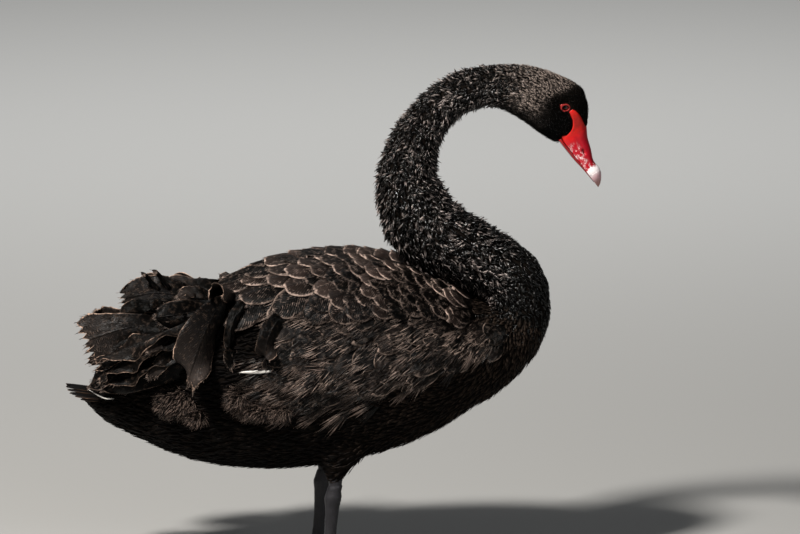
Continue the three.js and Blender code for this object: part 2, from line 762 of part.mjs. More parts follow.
// Coverts in staggered rows, longer and lying straighter towards the rear.
function coverts(side) {
  const made = [];
  for (let row = 0; row < COVERTS.rows; row++) {
    const back = row / (COVERTS.rows - 1);
    const count = COVERTS.columns - (row % 2);
    for (let i = 0; i < count; i++) {
      const x = COVERTS.first - COVERTS.spacing * row + random(-2, 2);
      const v = (WING.front - x) / (WING.front - WING.rear);
      const share = (i + 0.5 + (row % 2) * 0.5) / COVERTS.columns;
      const [top, bottom] = [wingTop(v) + 2, wingBottom(v) - 6];
      const lie = lerp(COVERT_LIE.front, COVERT_LIE.rear, back) + random(-2, 2);
      const length = COVERTS.length + COVERTS.longer * back + random(-1.5, 1.5);
      const apart = (bottom - top) / COVERTS.columns;
      made.push(covert(side, x, lerp(top, bottom, share), length, apart, rad(lie)));
    }
  }
  return made;
}

function wing(side) {
  const made = join([wingBed(side), ...coverts(side)]);
  return largest(clearOf(made, [torsoRoom, neckRoom, middle]).simplify(FINE));
}

const wings = { left: wing(1), right: wing(-1) };

// Flight feathers

function flightRise(x) {
  const back = clamp((WING.rear - x) / (WING.rear - FLIGHT.rear), 0, 1);
  return lerp(FLIGHT.front_thick, FLIGHT.rear_thick, back);
}

const ruffleVanes = (side, grown = 0) =>
  RUFFLE.map((shape) => {
    const start = bodyPoint(shape.x, side * shape.turn, flightRise(shape.x) - SUNK);
    return vane(side, start, shape, VANE_PLACES, 2, grown);
  });

function flightBed(side, grown = 0) {
  const start = WING.rear - 3 * GAP + grown;
  const turns = [() => WING.top, () => FLIGHT.bottom + grown];
  return bed(side, start, FLIGHT.rear - grown, ...turns, (x) => flightRise(x) + grown, 6, 4);
}

function flight(side) {
  const made = flightBed(side);
  const rest = [torsoRoom, wingBed(side, GAP), middle];
  return largest(clearOf(join([made, ...ruffleVanes(side)]), rest).simplify(FINE));
}

const flights = { left: flight(1), right: flight(-1) };

// White feathers folded along the flank, each one lower and reaching less far.
function primaries(side) {
  const start = WING.rear - 3 * GAP;
  const turns = [() => FLIGHT.bottom + 1.2, () => PRIMARIES.bottom];
  const made = bed(side, start, PRIMARIES.rear, ...turns, () => PRIMARIES.thick, 2, 3);
  const feathers = steps(0, 1, PRIMARIES.count - 1).map((share) => {
    const place = bodyPoint(-132, side * lerp(83, 93, share), PRIMARIES.thick - SUNK);
    const shape = { rise: lerp(0, -7, share), spread: -11, roll: 76, curl: 6 };
    const length = PRIMARIES.length - 22 * share;
    return vane(side, place, { ...shape, length, width: PRIMARIES.width }, STRAIGHT_PLACES, 1);
  });
  const rest = [torsoRoom, flightBed(side, GAP), ...ruffleVanes(side, GAP)];
  return largest(clearOf(join([made, ...feathers]), rest).simplify(FINE));
}

// Tail: soft under coverts as one form, with the fan of stiff feathers on top, each lower than the
// next one inwards.
function tail() {
  const places = [TORSO_REAR - GAP, -247, -262, -275, -288, -299.5];
  const middlemost = (TAIL.count - 1) / 2;
  const feathers = steps(-middlemost, middlemost, TAIL.count - 1).map((k) => {
    const low = TAIL.step * (Math.abs(k) + (k > 0 ? 1 : 0));
    const place = vec(TAIL.x, (k * TAIL.root) / middlemost, TAIL.z - low);
    const shape = { rise: TAIL.rise, spread: TAIL.spread * k, roll: 0 };
    return vane(1, place, { ...shape, length: TAIL.length, width: TAIL.width }, STRAIGHT_PLACES, 1);
  });
  return largest(join([bodySolid(places, 0, 16), ...feathers]).simplify(FINE));
}

// The whole bird

const swan = new THREE.Group();

function add(name, made, material) {
  const mesh = made.getMesh();
  const geometry = new THREE.BufferGeometry();
  geometry.setAttribute("position", new THREE.BufferAttribute(mesh.vertProperties, 3));
  geometry.setIndex(new THREE.BufferAttribute(mesh.triVerts, 1));
  geometry.computeVertexNormals();
  const part = new THREE.Mesh(geometry, material);
  part.name = name;
  swan.add(part);
}

add("torso", torso, MATERIALS.plumage);
neckParts.forEach((made, i) => add(`neck_${i + 1}`, made, MATERIALS.plumage));
add("head", head, MATERIALS.plumage);
add("bill_upper", billUpper, MATERIALS.bill);
add("bill_nail", billNail, MATERIALS.nail);
add("bill_lower", billLower, MATERIALS.bill);
add("tail", tail(), MATERIALS.coverts);
for (const [name, side] of [["left", 1], ["right", -1]]) {
  add(`eye_${name}`, eyeSolid(side), MATERIALS.eye);
  add(`eye_rim_${name}`, eyeRim(side), MATERIALS.bill);
  add(`lore_${name}`, lore(side), MATERIALS.bill);
  add(`wing_${name}`, wings[name], MATERIALS.coverts);
  add(`flight_${name}`, flights[name], MATERIALS.coverts);
  add(`primaries_${name}`, primaries(side), MATERIALS.white);
  add(`thigh_${name}`, thigh(side), MATERIALS.plumage);
  add(`tarsus_${name}`, tarsus(side), MATERIALS.leg);
  add(`foot_${name}`, foot(side), MATERIALS.leg);
  for (const [toe, size] of Object.entries(TOES))
    add(`claw_${toe}_${name}`, claw(side, size), MATERIALS.claw);
  add(`claw_hind_${name}`, hindClaw(side), MATERIALS.claw);
}

export default swan;
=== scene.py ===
"""A black swan at life size, standing, dressed round its solid model. Lengths are metres unless said."""

import math
from functools import partial

import bmesh
import bpy
import numpy as np
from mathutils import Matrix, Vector
from mathutils.bvhtree import BVHTree


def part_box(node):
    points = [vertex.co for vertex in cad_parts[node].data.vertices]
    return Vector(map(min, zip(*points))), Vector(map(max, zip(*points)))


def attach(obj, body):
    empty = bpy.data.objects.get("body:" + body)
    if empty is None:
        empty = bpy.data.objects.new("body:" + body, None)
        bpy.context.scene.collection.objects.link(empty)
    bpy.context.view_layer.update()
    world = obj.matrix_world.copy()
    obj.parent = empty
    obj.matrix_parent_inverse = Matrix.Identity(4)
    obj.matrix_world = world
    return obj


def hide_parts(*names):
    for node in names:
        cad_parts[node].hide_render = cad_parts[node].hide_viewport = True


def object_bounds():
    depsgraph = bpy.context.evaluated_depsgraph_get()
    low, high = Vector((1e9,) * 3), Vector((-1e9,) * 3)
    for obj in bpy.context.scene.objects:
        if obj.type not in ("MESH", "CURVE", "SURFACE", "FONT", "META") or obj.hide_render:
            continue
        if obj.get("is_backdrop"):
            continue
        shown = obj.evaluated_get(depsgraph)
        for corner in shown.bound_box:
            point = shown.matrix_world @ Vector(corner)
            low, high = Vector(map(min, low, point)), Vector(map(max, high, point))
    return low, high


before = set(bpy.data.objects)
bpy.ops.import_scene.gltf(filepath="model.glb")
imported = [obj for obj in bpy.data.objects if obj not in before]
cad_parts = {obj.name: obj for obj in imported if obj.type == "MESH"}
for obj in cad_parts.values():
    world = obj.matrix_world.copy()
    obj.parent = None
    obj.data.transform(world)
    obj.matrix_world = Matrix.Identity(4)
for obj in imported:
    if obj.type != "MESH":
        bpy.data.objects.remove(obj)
solid_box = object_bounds()

# Camera, floor and light
# The floor is plain and pale, and the light is a soft studio's. The camera looks at the bird's right
# side from far off through a long lens, a little from above, and leaves the feet below the picture.
VIEW_MIDDLE = Vector((0.0794, 0.0, 0.3514))
VIEW_WIDTH = 0.92
VIEW_DISTANCE = 6.0
VIEW_ABOVE = math.radians(9.9)
SENSOR = 36.0
FLOOR_SIZE = 30
FLOOR_GREY = (0.3, 0.3, 0.293, 1)
SKY_TINT = (0.86, 0.9, 0.95, 1)
SKY_STRENGTH = 0.05

camera = bpy.data.objects.new("camera", bpy.data.cameras.new("camera"))
bpy.context.scene.collection.objects.link(camera)
bpy.context.scene.camera = camera
camera.data.sensor_width = SENSOR
camera.data.lens = SENSOR * VIEW_DISTANCE / VIEW_WIDTH
camera.data.dof.use_dof = False
bpy.context.scene.view_settings.view_transform = "Standard"
back = Vector((0.0, -math.cos(VIEW_ABOVE), math.sin(VIEW_ABOVE)))
camera.location = VIEW_MIDDLE + back * VIEW_DISTANCE
camera.rotation_euler = (-back).to_track_quat("-Z", "Y").to_euler()


def new_node(tree, kind, inputs=None, **settings):
    """A node with its settings, whose inputs are given values or linked to other nodes' outputs."""
    made = tree.nodes.new(kind)
    for name, value in settings.items():
        setattr(made, name, value)
    for name, value in (inputs or {}).items():
        if isinstance(value, bpy.types.NodeSocket):
            tree.links.new(value, made.inputs[name])
        else:
            made.inputs[name].default_value = value
    return made


def new_material(name, **constants):
    """A material with only its shader, whose sockets are given constant values."""
    material = bpy.data.materials.new(name)
    material.use_nodes = True
    tree = material.node_tree
    tree.nodes.clear()
    shader = new_node(tree, "ShaderNodeBsdfPrincipled", constants)
    new_node(tree, "ShaderNodeOutputMaterial", {"Surface": shader.outputs["BSDF"]})
    return material, tree, shader


def area_light(name, place, size, watts, tint, aim=VIEW_MIDDLE):
    """A square soft light that faces the bird, or another place."""
    lamp = bpy.data.lights.new(name, "AREA")
    lamp.size = size
    lamp.energy = watts
    lamp.color = tint
    lamp_object = bpy.data.objects.new(name, lamp)
    bpy.context.scene.collection.objects.link(lamp_object)
    lamp_object.location = place
    lamp_object.rotation_euler = (Vector(aim) - Vector(place)).to_track_quat("-Z", "Y").to_euler()


def mesh_of(bm, name):
    """What was built as a mesh, which ends the building."""
    mesh = bpy.data.meshes.new(name)
    bm.to_mesh(mesh)
    bm.free()
    return mesh


area_light("key_light", (-1.5, -1.9, 3.0), 0.5, 300, (1.0, 0.96, 0.91))
area_light("side_light", (2.6, -2.4, 1.6), 1.0, 22, (0.93, 0.96, 1.0))
area_light("rear_light", (-0.4, 2.2, 2.6), 1.2, 10, (1.0, 1.0, 1.0))
area_light("floor_light", (0.0, 3.0, 4.0), 3.0, 330, (1.0, 1.0, 1.0), (0.0, 6.2, 1.8))

world = bpy.data.worlds.new("studio")
bpy.context.scene.world = world
world.use_nodes = True
background = world.node_tree.nodes["Background"]
background.inputs["Color"].default_value = SKY_TINT
background.inputs["Strength"].default_value = SKY_STRENGTH

floor_material, tree, shader = new_material("floor", **{"Roughness": 0.8, "Base Color": FLOOR_GREY})
bm = bmesh.new()
bmesh.ops.create_grid(bm, x_segments=2, y_segments=2, size=FLOOR_SIZE)
floor = bpy.data.objects.new("floor", mesh_of(bm, "floor"))
floor.data.materials.append(floor_material)
bpy.context.scene.collection.objects.link(floor)
floor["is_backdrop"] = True

# Skin
# One closed skin over the bird's torso, neck, head, tail root and thighs, without a seam. It lies
# inside the solids by the depth of the plumage and swells under the folded wings.
MM = 0.001
AHEAD = Vector((1, 0, 0))
LEFTWARD = Vector((0, 1, 0))
UPWARD = Vector((0, 0, 1))
SKIN_CELL = 3.2 * MM
WELD = 0.01 * MM
FLESH = ("torso", "neck_1", "neck_2", "neck_3", "neck_4", "head", "thigh_left", "thigh_right")
TAIL_ROOT = (  # x, back, level of the greatest width, belly, half width
    (-226, 250, 209, 150, 53),
    (-247, 232, 204, 161, 45),
    (-262, 219, 200, 169, 38),
    (-275, 214, 201, 181, 30),
    (-288, 213, 206, 195, 20),
    (-298, 215, 213, 209, 9),
)
TAIL_ROOT_SIDES = 20
TAIL_ROOT_SQUARENESS = 0.94
BODY_LINE = (  # x, back, level of the greatest width, belly, half width
    (-300, 216.5, 214, 210, 8),
    (-283, 213, 204, 190, 24),
    (-262, 219, 200, 169, 38),
    (-231, 246, 208, 152, 52),
    (-160, 306, 230, 123, 80),
    (-80, 351, 244, 113, 97),
    (0, 366, 250, 119, 103),
    (60, 362, 253, 133, 101),
    (120, 342, 259, 156, 90),
    (170, 316, 267, 189, 72),
    (215, 302, 275, 225, 52),
    (235, 292, 277, 250, 34),
    (246, 281, 279, 273, 7),
)
NECK_LINE = (  # x, z and radius, from the breast up to the base of the bill
    (201, 258, 54), (213, 284, 50), (217, 307, 47), (208, 340, 47), (166, 366, 46),
    (140, 380, 45), (112, 394, 44), (94, 426, 42), (85, 449.5, 39), (87, 476, 33.6),
    (94, 500, 30), (109, 522.5, 27), (136, 550, 24.6), (170, 561.6, 24.2), (192, 562.7, 25.7),
    (206, 561.3, 27.4), (222, 555.7, 31.6), (240.4, 542.9, 38), (258.8, 527.7, 42.5),
    (271.4, 512.5, 30.5), (277.2, 506.7, 18.6),
)
COAT_DEPTH = {"body": 5.0 * MM, "neck": 3.5 * MM, "head": 1.3 * MM}
BREAST_FILL = 1.8 * MM
THROAT_FILL = 2.6 * MM
BROW_FILL = 2.2 * MM
WING_SWELL = 8.0 * MM
FACE_TAPER = 0.22  # how much narrower the head gets where it runs into the bill
NECK_SHIFT = {"ahead": 3.3, "top_in": 3.3, "foot_out": 4.0}
BILL_BASE = Vector((277.2, 0, 506.7)) * MM
BILL_SLOPE = math.radians(-60)
BILL_WAY = Vector((math.cos(BILL_SLOPE), 0, math.sin(BILL_SLOPE)))


def ease(low, high, value):
    """Zero up to low, one from high on, and smooth between."""
    share = np.clip((value - low) / (high - low), 0, 1)
    return share * share * (3 - 2 * share)


def along_line(rows, steps):
    """Rows of a table at even distances along its line, with the share of the way of each."""
    rows = np.array(rows, float) * MM
    far = np.concatenate(([0], np.cumsum(np.linalg.norm(np.diff(rows[:, :2], axis=0), axis=1))))
    share = np.linspace(0, 1, steps)
    return share, np.array([np.interp(share * far[-1], far, column) for column in rows.T]).T, far[-1]


neck_share, neck_rows, neck_length = along_line(NECK_LINE, 160)
for _ in range(6):
    neck_rows[1:-1] = (neck_rows[:-2] + 2 * neck_rows[1:-1] + neck_rows[2:]) / 4
neck_way = -np.gradient(neck_rows[:, :2], axis=0)
neck_way /= np.linalg.norm(neck_way, axis=1)[:, None]


def near_neck(points):
    """Each point's share of the way up the neck line, and its distance from it by the neck's radius."""
    flat = points[:, None, :] - np.stack([neck_rows[:, 0], 0 * neck_rows[:, 0], neck_rows[:, 1]], 1)
    ratio = np.linalg.norm(flat, axis=2) / neck_rows[:, 2]
    nearest = ratio.argmin(1)
    return neck_share[nearest], ratio[np.arange(len(points)), nearest], nearest


body_table = np.array(BODY_LINE, float) * MM


def body_at(x):
    """Back, level, belly and half width of the body at x."""
    return [np.interp(x, body_table[:, 0], body_table[:, k]) for k in range(1, 5)]


def body_turn(points):
    """Degrees from the ridge of the back down the side, for points on the body."""
    top, level, belly, half = body_at(points[:, 0])
    above = points[:, 2] - level
    tall = np.where(above > 0, top - level, level - belly)
    return np.degrees(np.arctan2(np.abs(points[:, 1]) / half, above / tall))


def ring_of(bm, centre, across, up, half, high, low, sides, squareness=1.0, below=None):
    """A closed ring of vertices across a line, with its own height and squareness above and below it."""
    ring = bmesh.ops.create_circle(bm, segments=sides, radius=1.0)["verts"]
    for vert in ring:
        c, s = vert.co.x, vert.co.y
        power = below if below and s < 0 else squareness
        wide = math.copysign(abs(c) ** power, c) * half
        tall = math.copysign(abs(s) ** power, s) * (high if s > 0 else low)
        vert.co = centre + across * wide + up * tall
    return ring


def bridge_rings(bm, rings, closed=False):
    """Skins a row of rings, and closes its two ends or joins them."""
    def edges_of(ring):
        return [bm.edges.get((ring[i], ring[i - 1])) for i in range(len(ring))]

    pairs = list(zip(rings, rings[1:]))
    if closed:
        pairs.append((rings[-1], rings[0]))
    for first, second in pairs:
        bmesh.ops.bridge_loops(bm, edges=edges_of(first) + edges_of(second))
    if not closed:
        bmesh.ops.contextual_create(bm, geom=edges_of(rings[0]))
        bmesh.ops.contextual_create(bm, geom=edges_of(rings[-1]))
    bmesh.ops.recalc_face_normals(bm, faces=bm.faces)


def even_skin(bm, name, cell, factor, iterations):
    """What was built as one closed skin of even cells, smoothed."""
    made = bpy.data.objects.new(name, mesh_of(bm, name))
    bpy.context.scene.collection.objects.link(made)
    remesh = made.modifiers.new("one_skin", "REMESH")
    remesh.mode = "VOXEL"
    remesh.voxel_size = cell
    smooth = made.modifiers.new("smooth", "SMOOTH")
    smooth.factor = factor
    smooth.iterations = iterations
    bpy.context.view_layer.update()
    applied = made.evaluated_get(bpy.context.evaluated_depsgraph_get())
    mesh = bpy.data.meshes.new_from_object(applied)
    bpy.data.objects.remove(made)
    return mesh


def search_tree(mesh):
    """What finds the nearest place of a mesh, and where a ray meets it."""
    corners = [vertex.co.copy() for vertex in mesh.vertices]
    return BVHTree.FromPolygons(corners, [tuple(face.vertices) for face in mesh.polygons])


def new_object(name, mesh, material, replaces=()):
    """A piece in its place that rides on the bird."""
    made = bpy.data.objects.new(name, mesh)
    bpy.context.scene.collection.objects.link(made)
    mesh.materials.clear()
    mesh.materials.append(material)
    mesh.polygons.foreach_set("use_smooth", np.ones(len(mesh.polygons), bool))
    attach(made, "root")
    if replaces:
        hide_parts(*replaces)
    return made


def points_of(mesh):
    """A mesh's vertices as an array."""
    flat = np.empty(len(mesh.vertices) * 3, np.float32)
    mesh.vertices.foreach_get("co", flat)
    return flat.reshape(-1, 3).astype(float)


def normals_of(mesh):
    """A mesh's vertex normals as an array."""
    flat = np.empty(len(mesh.vertices) * 3, np.float32)
    mesh.vertex_normals.foreach_get("vector", flat)
    return flat.reshape(-1, 3).astype(float)


def move_points(mesh, points):
    """Puts a mesh's vertices where the array says."""
    mesh.vertices.foreach_set("co", points.astype(np.float32).ravel())
    mesh.update()


bm = bmesh.new()
for name in FLESH:
    bm.from_mesh(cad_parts[name].data)
bmesh.ops.remove_doubles(bm, verts=bm.verts, dist=WELD)
bridge_rings(bm, [
    ring_of(
        bm, Vector((x, 0, level)) * MM, LEFTWARD, UPWARD,
        half * MM, (top - level) * MM, (level - belly) * MM, TAIL_ROOT_SIDES, TAIL_ROOT_SQUARENESS,
    )
    for x, top, level, belly, half in TAIL_ROOT
])
skin_mesh = even_skin(bm, "flesh", SKIN_CELL, factor=0.6, iterations=10)

skin_points = points_of(skin_mesh)
share, ratio, _ = near_neck(skin_points)
on_neck = ease(1.5, 1.1, ratio)
skin_normals = normals_of(skin_mesh)
neck_depth = COAT_DEPTH["neck"] + (COAT_DEPTH["head"] - COAT_DEPTH["neck"]) * ease(0.8, 0.9, share)
forwards, upwards = skin_normals[:, 0], skin_normals[:, 2]
neck_depth = neck_depth - BREAST_FILL * ease(0.24, 0.1, share) * ease(-0.2, 0.5, forwards)
neck_depth = neck_depth - THROAT_FILL * ease(-0.1, -0.6, upwards) * ease(0.62, 0.76, share)
neck_depth = neck_depth - BROW_FILL * ease(0.3, 0.8, upwards) * ease(0.87, 0.95, share)
depth = COAT_DEPTH["body"] * (1 - on_neck) + neck_depth * on_neck

turn = body_turn(skin_points)
under_wings = ease(172 * MM, 120 * MM, skin_points[:, 0]) * ease(-200 * MM, -160 * MM, skin_points[:, 0])
down_sides = ease(2, 20, turn) * ease(112, 88, turn)
swell = WING_SWELL * under_wings * down_sides * (1 - on_neck)
skin_points = skin_points + skin_normals * (swell - depth)[:, None]

to_bill = (skin_points - np.array(BILL_BASE)) @ np.array(BILL_WAY) / MM
at_head = ease(0.47, 0.49, skin_points[:, 2]) * ease(0.215, 0.26, skin_points[:, 0])
skin_points[:, 1] *= 1 - FACE_TAPER * ease(-42, 4, to_bill) * at_head

level = skin_points[:, 2] / MM
behind = ease(0.2, -0.4, forwards)
upper = ease(458, 472, level) * ease(0.78, 0.66, share)
at_top = ease(422, 440, level) * ease(472, 458, level)
shift = NECK_SHIFT["ahead"] * upper + NECK_SHIFT["top_in"] * behind * at_top
shift = shift - NECK_SHIFT["foot_out"] * behind * ease(415, 395, level) * ease(360, 385, level)
skin_points[:, 0] += shift * on_neck * ease(0.3, 0.36, share) * MM
move_points(skin_mesh, skin_points)
skin_mesh.name = "skin"


def place_node(tree):
    """The output of a Texture Coordinate node: places in the object's own frame."""
    return new_node(tree, "ShaderNodeTexCoord").outputs["Object"]


def blend_node(tree, share, first, second):
    """The colour output of a Mix node."""
    inputs = {0: share, 6: first, 7: second}
    return new_node(tree, "ShaderNodeMix", inputs, data_type="RGBA").outputs[2]


def noise_node(tree, vector, scale, detail=3.0, roughness=0.55):
    """The value output of a Noise Texture."""
    inputs = {"Vector": vector, "Scale": scale, "Detail": detail, "Roughness": roughness}
    return new_node(tree, "ShaderNodeTexNoise", inputs).outputs[0]


def feed(tree, shader, colour, roughness=None, height=None, bump=0.0, distance=0.0):
    """Gives a shader its colour, and its roughness and relief where they vary."""
    tree.links.new(colour, shader.inputs["Base Color"])
    if roughness is not None:
        tree.links.new(roughness, shader.inputs["Roughness"])
    if height is not None:
        relief = {"Height": height, "Strength": bump, "Distance": distance * MM}
        tree.links.new(new_node(tree, "ShaderNodeBump", relief).outputs["Normal"], shader.inputs["Normal"])


BLACK = (0.001, 0.0007, 0.0006)
FLESH_DARK = (0.008, 0.0056, 0.0042)

skin_material, tree, shader = new_material("skin", **{"Roughness": 0.8, "Specular IOR Level": 0.03})
place = place_node(tree)
feed(tree, shader, blend_node(tree, noise_node(tree, place, 60.0), (*BLACK, 1), (*FLESH_DARK, 1)))
new_object("skin", skin_mesh, skin_material, (*FLESH, "tail"))
skin_tree = search_tree(skin_mesh)

# Feathers of breast, belly and back
# Small contour feathers in staggered rows, each a thin tapered vane with a raised shaft. They lie
# backwards along the body, run down from the neck over the breast, and are smallest in front.
PATCH = 0.003  # size of one feather's patch on the map that the colours are kept on
LOOSE = 0.3  # of the gap between roots, how far each is out of its place in the row
ROW_STEP = 0.86  # of that gap, from one row to the next
ROUNDED = (0.0, 0.75, 1.0, 0.85, 0.0)  # shares of a feather's width from its root to its tip
BODY_FEATHER = {"long": 16 * MM, "wide": 3.6 * MM, "gap": 4.4, "wider_gap": 0.9}

rng = np.random.default_rng(5)


class Roots:
    """Where feathers grow: place, heading and normal of each, and its place on the unwrapped skin."""

    def __init__(self):
        self.place, self.way, self.normal, self.unwrap, self.share = [], [], [], [], []

    def add(self, place, way, normal, unwrap, share):
        self.place.append(place)
        self.way.append(way)
        self.normal.append(normal)
        self.unwrap.append(unwrap)
        self.share.append(share)

    def arrays(self):
        self.share = np.array(self.share)
        return self

    def at(self, which):
        """The roots at these places of the list, of which one may come more than once."""
        some = Roots()
        for i in which:
            some.add(self.place[i], self.way[i], self.normal[i], self.unwrap[i], self.share[i])
        return some.arrays()


def body_way(place):
    """The lie of the plumage on the body: backwards, and downwards on the breast."""
    down = ease(120 * MM, 235 * MM, place.x)
    return Vector((-1 + 0.75 * down, 0, -0.1 - 1.1 * down)).normalized()


def cast(origin, out, limit):
    """Where a ray from inside meets the skin, if that is near enough."""
    hit, normal, _, distance = skin_tree.ray_cast(origin, out)
    return (hit, normal) if hit is not None and distance < limit else (None, None)


def body_unwrap(x, turn):
    """The place on the unwrapped skin of a point of the body."""
    return 0.02 + 0.5 * (x / MM + 305) / 560, 0.5 + turn / 370


def neck_unwrap(share, turn):
    """The place on the unwrapped skin of a point of the neck or head."""
    return 0.56 + 0.42 * share, 0.5 + turn / 370


def turned(degrees):
    """The sine and the cosine of an angle."""
    return math.sin(math.radians(degrees)), math.cos(math.radians(degrees))


def body_hit(place, turn, row, reach):
    """Where the skin of the body is at a place of its length, some degrees from the ridge of the back."""
    top, level, belly, half = row
    s, c = turned(turn)
    out = Vector((0, half * s, (top - level if c > 0 else level - belly) * c))
    return cast(Vector((place, 0, level)), out.normalized(), reach * out.length + 12 * MM)


def body_roots(front, rear, gap, keep):
    """Roots in staggered rows round the body, kept where keep says so."""
    roots = Roots()
    x, row = front * MM, 0
    while x > rear * MM:
        top, level, belly, half = body_at(x)
        ahead = body_at(x + 2 * MM)
        steep = math.hypot(1.0, (half - ahead[3]) / (2 * MM))
        around = math.pi * (half + (top - belly) / 2)
        count = max(5, round(around / gap(x)))
        for i in range(count):
            turn = -180 + 360 * (i + 0.5 * (row % 2) + rng.uniform(-LOOSE, LOOSE)) / count
            here = x + rng.uniform(-LOOSE, LOOSE) * gap(x)
            if not keep(here / MM, abs(turn)):
                continue
            hit, normal = body_hit(here, turn, (top, level, belly, half), 1.3)
            if hit is not None:
                roots.add(hit, body_way(hit), normal, body_unwrap(here, turn), here / MM)
        x -= ROW_STEP * gap(x) / steep
        row += 1
    return roots.arrays()


def follow(roots, lengths, swing, shares):
    """The path of each feather's shaft over the skin, with the normal and heading along it."""
    rings = len(shares)
    steps = np.append(np.diff(shares), 0)
    paths = np.empty((len(roots.place), rings, 3))
    normals = np.empty_like(paths)
    ways = np.empty_like(paths)
    for i, (place, way, normal) in enumerate(zip(roots.place, roots.way, roots.normal)):
        way = (way - normal * way.dot(normal)).normalized()
        way = (way + normal.cross(way) * math.tan(math.radians(swing[i]))).normalized()
        here = place
        for k in range(rings):
            near, normal, _, _ = skin_tree.find_nearest(here)
            way = (way - normal * way.dot(normal)).normalized()
            paths[i, k], normals[i, k], ways[i, k] = near, normal, way
            here = near + way * steps[k] * lengths[i]
    normals[:, 1:-1] = (normals[:, :-2] + normals[:, 1:-1] + normals[:, 2:]) / 3
    normals /= np.linalg.norm(normals, axis=2)[..., None]
    return paths, normals, ways


def joined_mesh(name, points, corners, sizes, vane, unwrap, patch, shade):
    """Like feathers as one mesh: points by feather, and one feather's faces and vane coordinates."""
    count, each = points.shape[:2]
    mesh = bpy.data.meshes.new(name)
    mesh.vertices.add(count * each)
    mesh.vertices.foreach_set("co", points.astype(np.float32).ravel())
    corners = np.array(corners)
    every = (corners[None, :] + each * np.arange(count)[:, None]).ravel()
    starts = np.concatenate(([0], np.cumsum(sizes)[:-1]))
    mesh.loops.add(len(every))
    mesh.polygons.add(len(sizes) * count)
    begin = (starts[None, :] + len(corners) * np.arange(count)[:, None]).ravel()
    mesh.polygons.foreach_set("loop_start", begin.astype(np.int32))
    mesh.loops.foreach_set("vertex_index", every.astype(np.int32))
    mesh.update(calc_edges=True)
    vane = np.asarray(vane)[corners]
    mesh.uv_layers.new(name="Vane", do_init=False)
    mesh.uv_layers.new(name="OFBake", do_init=False)
    mesh.uv_layers["Vane"].uv.foreach_set("vector", np.tile(vane, (count, 1)).astype(np.float32).ravel())
    at_root = np.asarray(unwrap)[:, None, :] + (vane[None] - 0.5) * patch
    mesh.uv_layers["OFBake"].uv.foreach_set("vector", at_root.astype(np.float32).ravel())
    tone = mesh.attributes.new("shade", "FLOAT", "POINT")
    tone.data.foreach_set("value", np.repeat(shade, each).astype(np.float32))
    mesh.uv_layers["Vane"].active_render = True
    return mesh


def blade_parts(rings):
    """Faces and vane coordinates of one blade: two pointed ends and three-cornered rings between."""
    tip = 1 + 3 * (rings - 2)
    vane = [(0.5, 0.0)]
    for k in range(1, rings - 1):
        vane += [(1.0, k / (rings - 1)), (0.5, k / (rings - 1)), (0.0, k / (rings - 1))]
    vane.append((0.5, 1.0))
    corners, sizes = [], []
    for i in range(3):
        j = (i + 1) % 3
        corners += [0, 1 + j, 1 + i]
        sizes.append(3)
        for k in range(rings - 3):
            a, b = 1 + 3 * k + i, 1 + 3 * k + j
            corners += [a, b, b + 3, a + 3]
            sizes.append(4)
        corners += [tip - 3 + i, tip - 3 + j, tip]
        sizes.append(3)
    return corners, sizes, vane


def blade_mesh(
    name, paths, normals, ways, unwrap, width, profile, material, patch=PATCH, high=0.22, shade=None
):
    """Blades with pointed ends along paths: a flat underside and a raised shaft."""
    sides = np.cross(normals, ways)
    half = (width[:, None] * np.array(profile) / 2)[..., None]
    ridge = paths + normals * half * 2 * high
    body = np.stack([paths + sides * half, ridge, paths - sides * half], 2)[:, 1:-1]
    points = np.concatenate([paths[:, :1], body.reshape(len(paths), -1, 3), paths[:, -1:]], 1)
    shade = rng.uniform(0, 1, len(paths)) if shade is None else shade
    mesh = joined_mesh(name, points, *blade_parts(len(profile)), unwrap, patch, shade)
    return new_object(name, mesh, material)


def blades(name, roots, length, width, lift, swing, material, profile, high=0.22, shade=None):
    """Small feathers as blades over the skin. Length, width, lift and swing are given by root."""
    at = np.linspace(0, 1, len(profile))
    paths, normals, ways = follow(roots, length, swing, at)
    rise = 0.25 * MM + lift[:, None] * at**1.5
    rise[:, 0] = -0.4 * MM
    paths = paths + normals * rise[..., None]
    return blade_mesh(
        name, paths, normals, ways, roots.unwrap, width, profile, material, high=high, shade=shade
    )


def spread_of(values, amount):
    """Values varied by up to a share either way."""
    return values * rng.uniform(1 - amount, 1 + amount, len(values))


def math_node(tree, operation, first, second=0.0, third=0.0, clamp=False):
    """The output of a Math node on numbers or sockets."""
    inputs = {0: first, 1: second, 2: third}
    return new_node(tree, "ShaderNodeMath", inputs, operation=operation, use_clamp=clamp).outputs[0]


def swayed(tree, value, amount, base, clamp=False):
    """The base, moved by an amount that grows with how far the value is over a half."""
    return math_node(tree, "MULTIPLY_ADD", math_node(tree, "SUBTRACT", value, 0.5), amount, base, clamp)


def map_node(tree, value, low, high, to_low=0.0, to_high=1.0):
    """The output of a smooth Map Range node."""
    inputs = {0: value, 1: low, 2: high, 3: to_low, 4: to_high}
    return new_node(tree, "ShaderNodeMapRange", inputs, interpolation_type="SMOOTHSTEP").outputs[0]


def node_steps(tree):
    """The helpers for nodes, each set to work in one tree."""
    return [partial(step, tree) for step in (math_node, swayed, blend_node, map_node, noise_node)]


def new_group(name, inputs):
    """A node group with the given inputs, that gives out a colour, a roughness and a height."""
    group = bpy.data.node_groups.new(name, "ShaderNodeTree")
    for socket_name, value in inputs.items():
        kind = "NodeSocketColor" if isinstance(value, tuple) else "NodeSocketFloat"
        group.interface.new_socket(socket_name, in_out="INPUT", socket_type=kind).default_value = value
    for socket_name in ("Color", "Roughness", "Height"):
        kind = "NodeSocketColor" if socket_name == "Color" else "NodeSocketFloat"
        group.interface.new_socket(socket_name, in_out="OUTPUT", socket_type=kind)
    return group


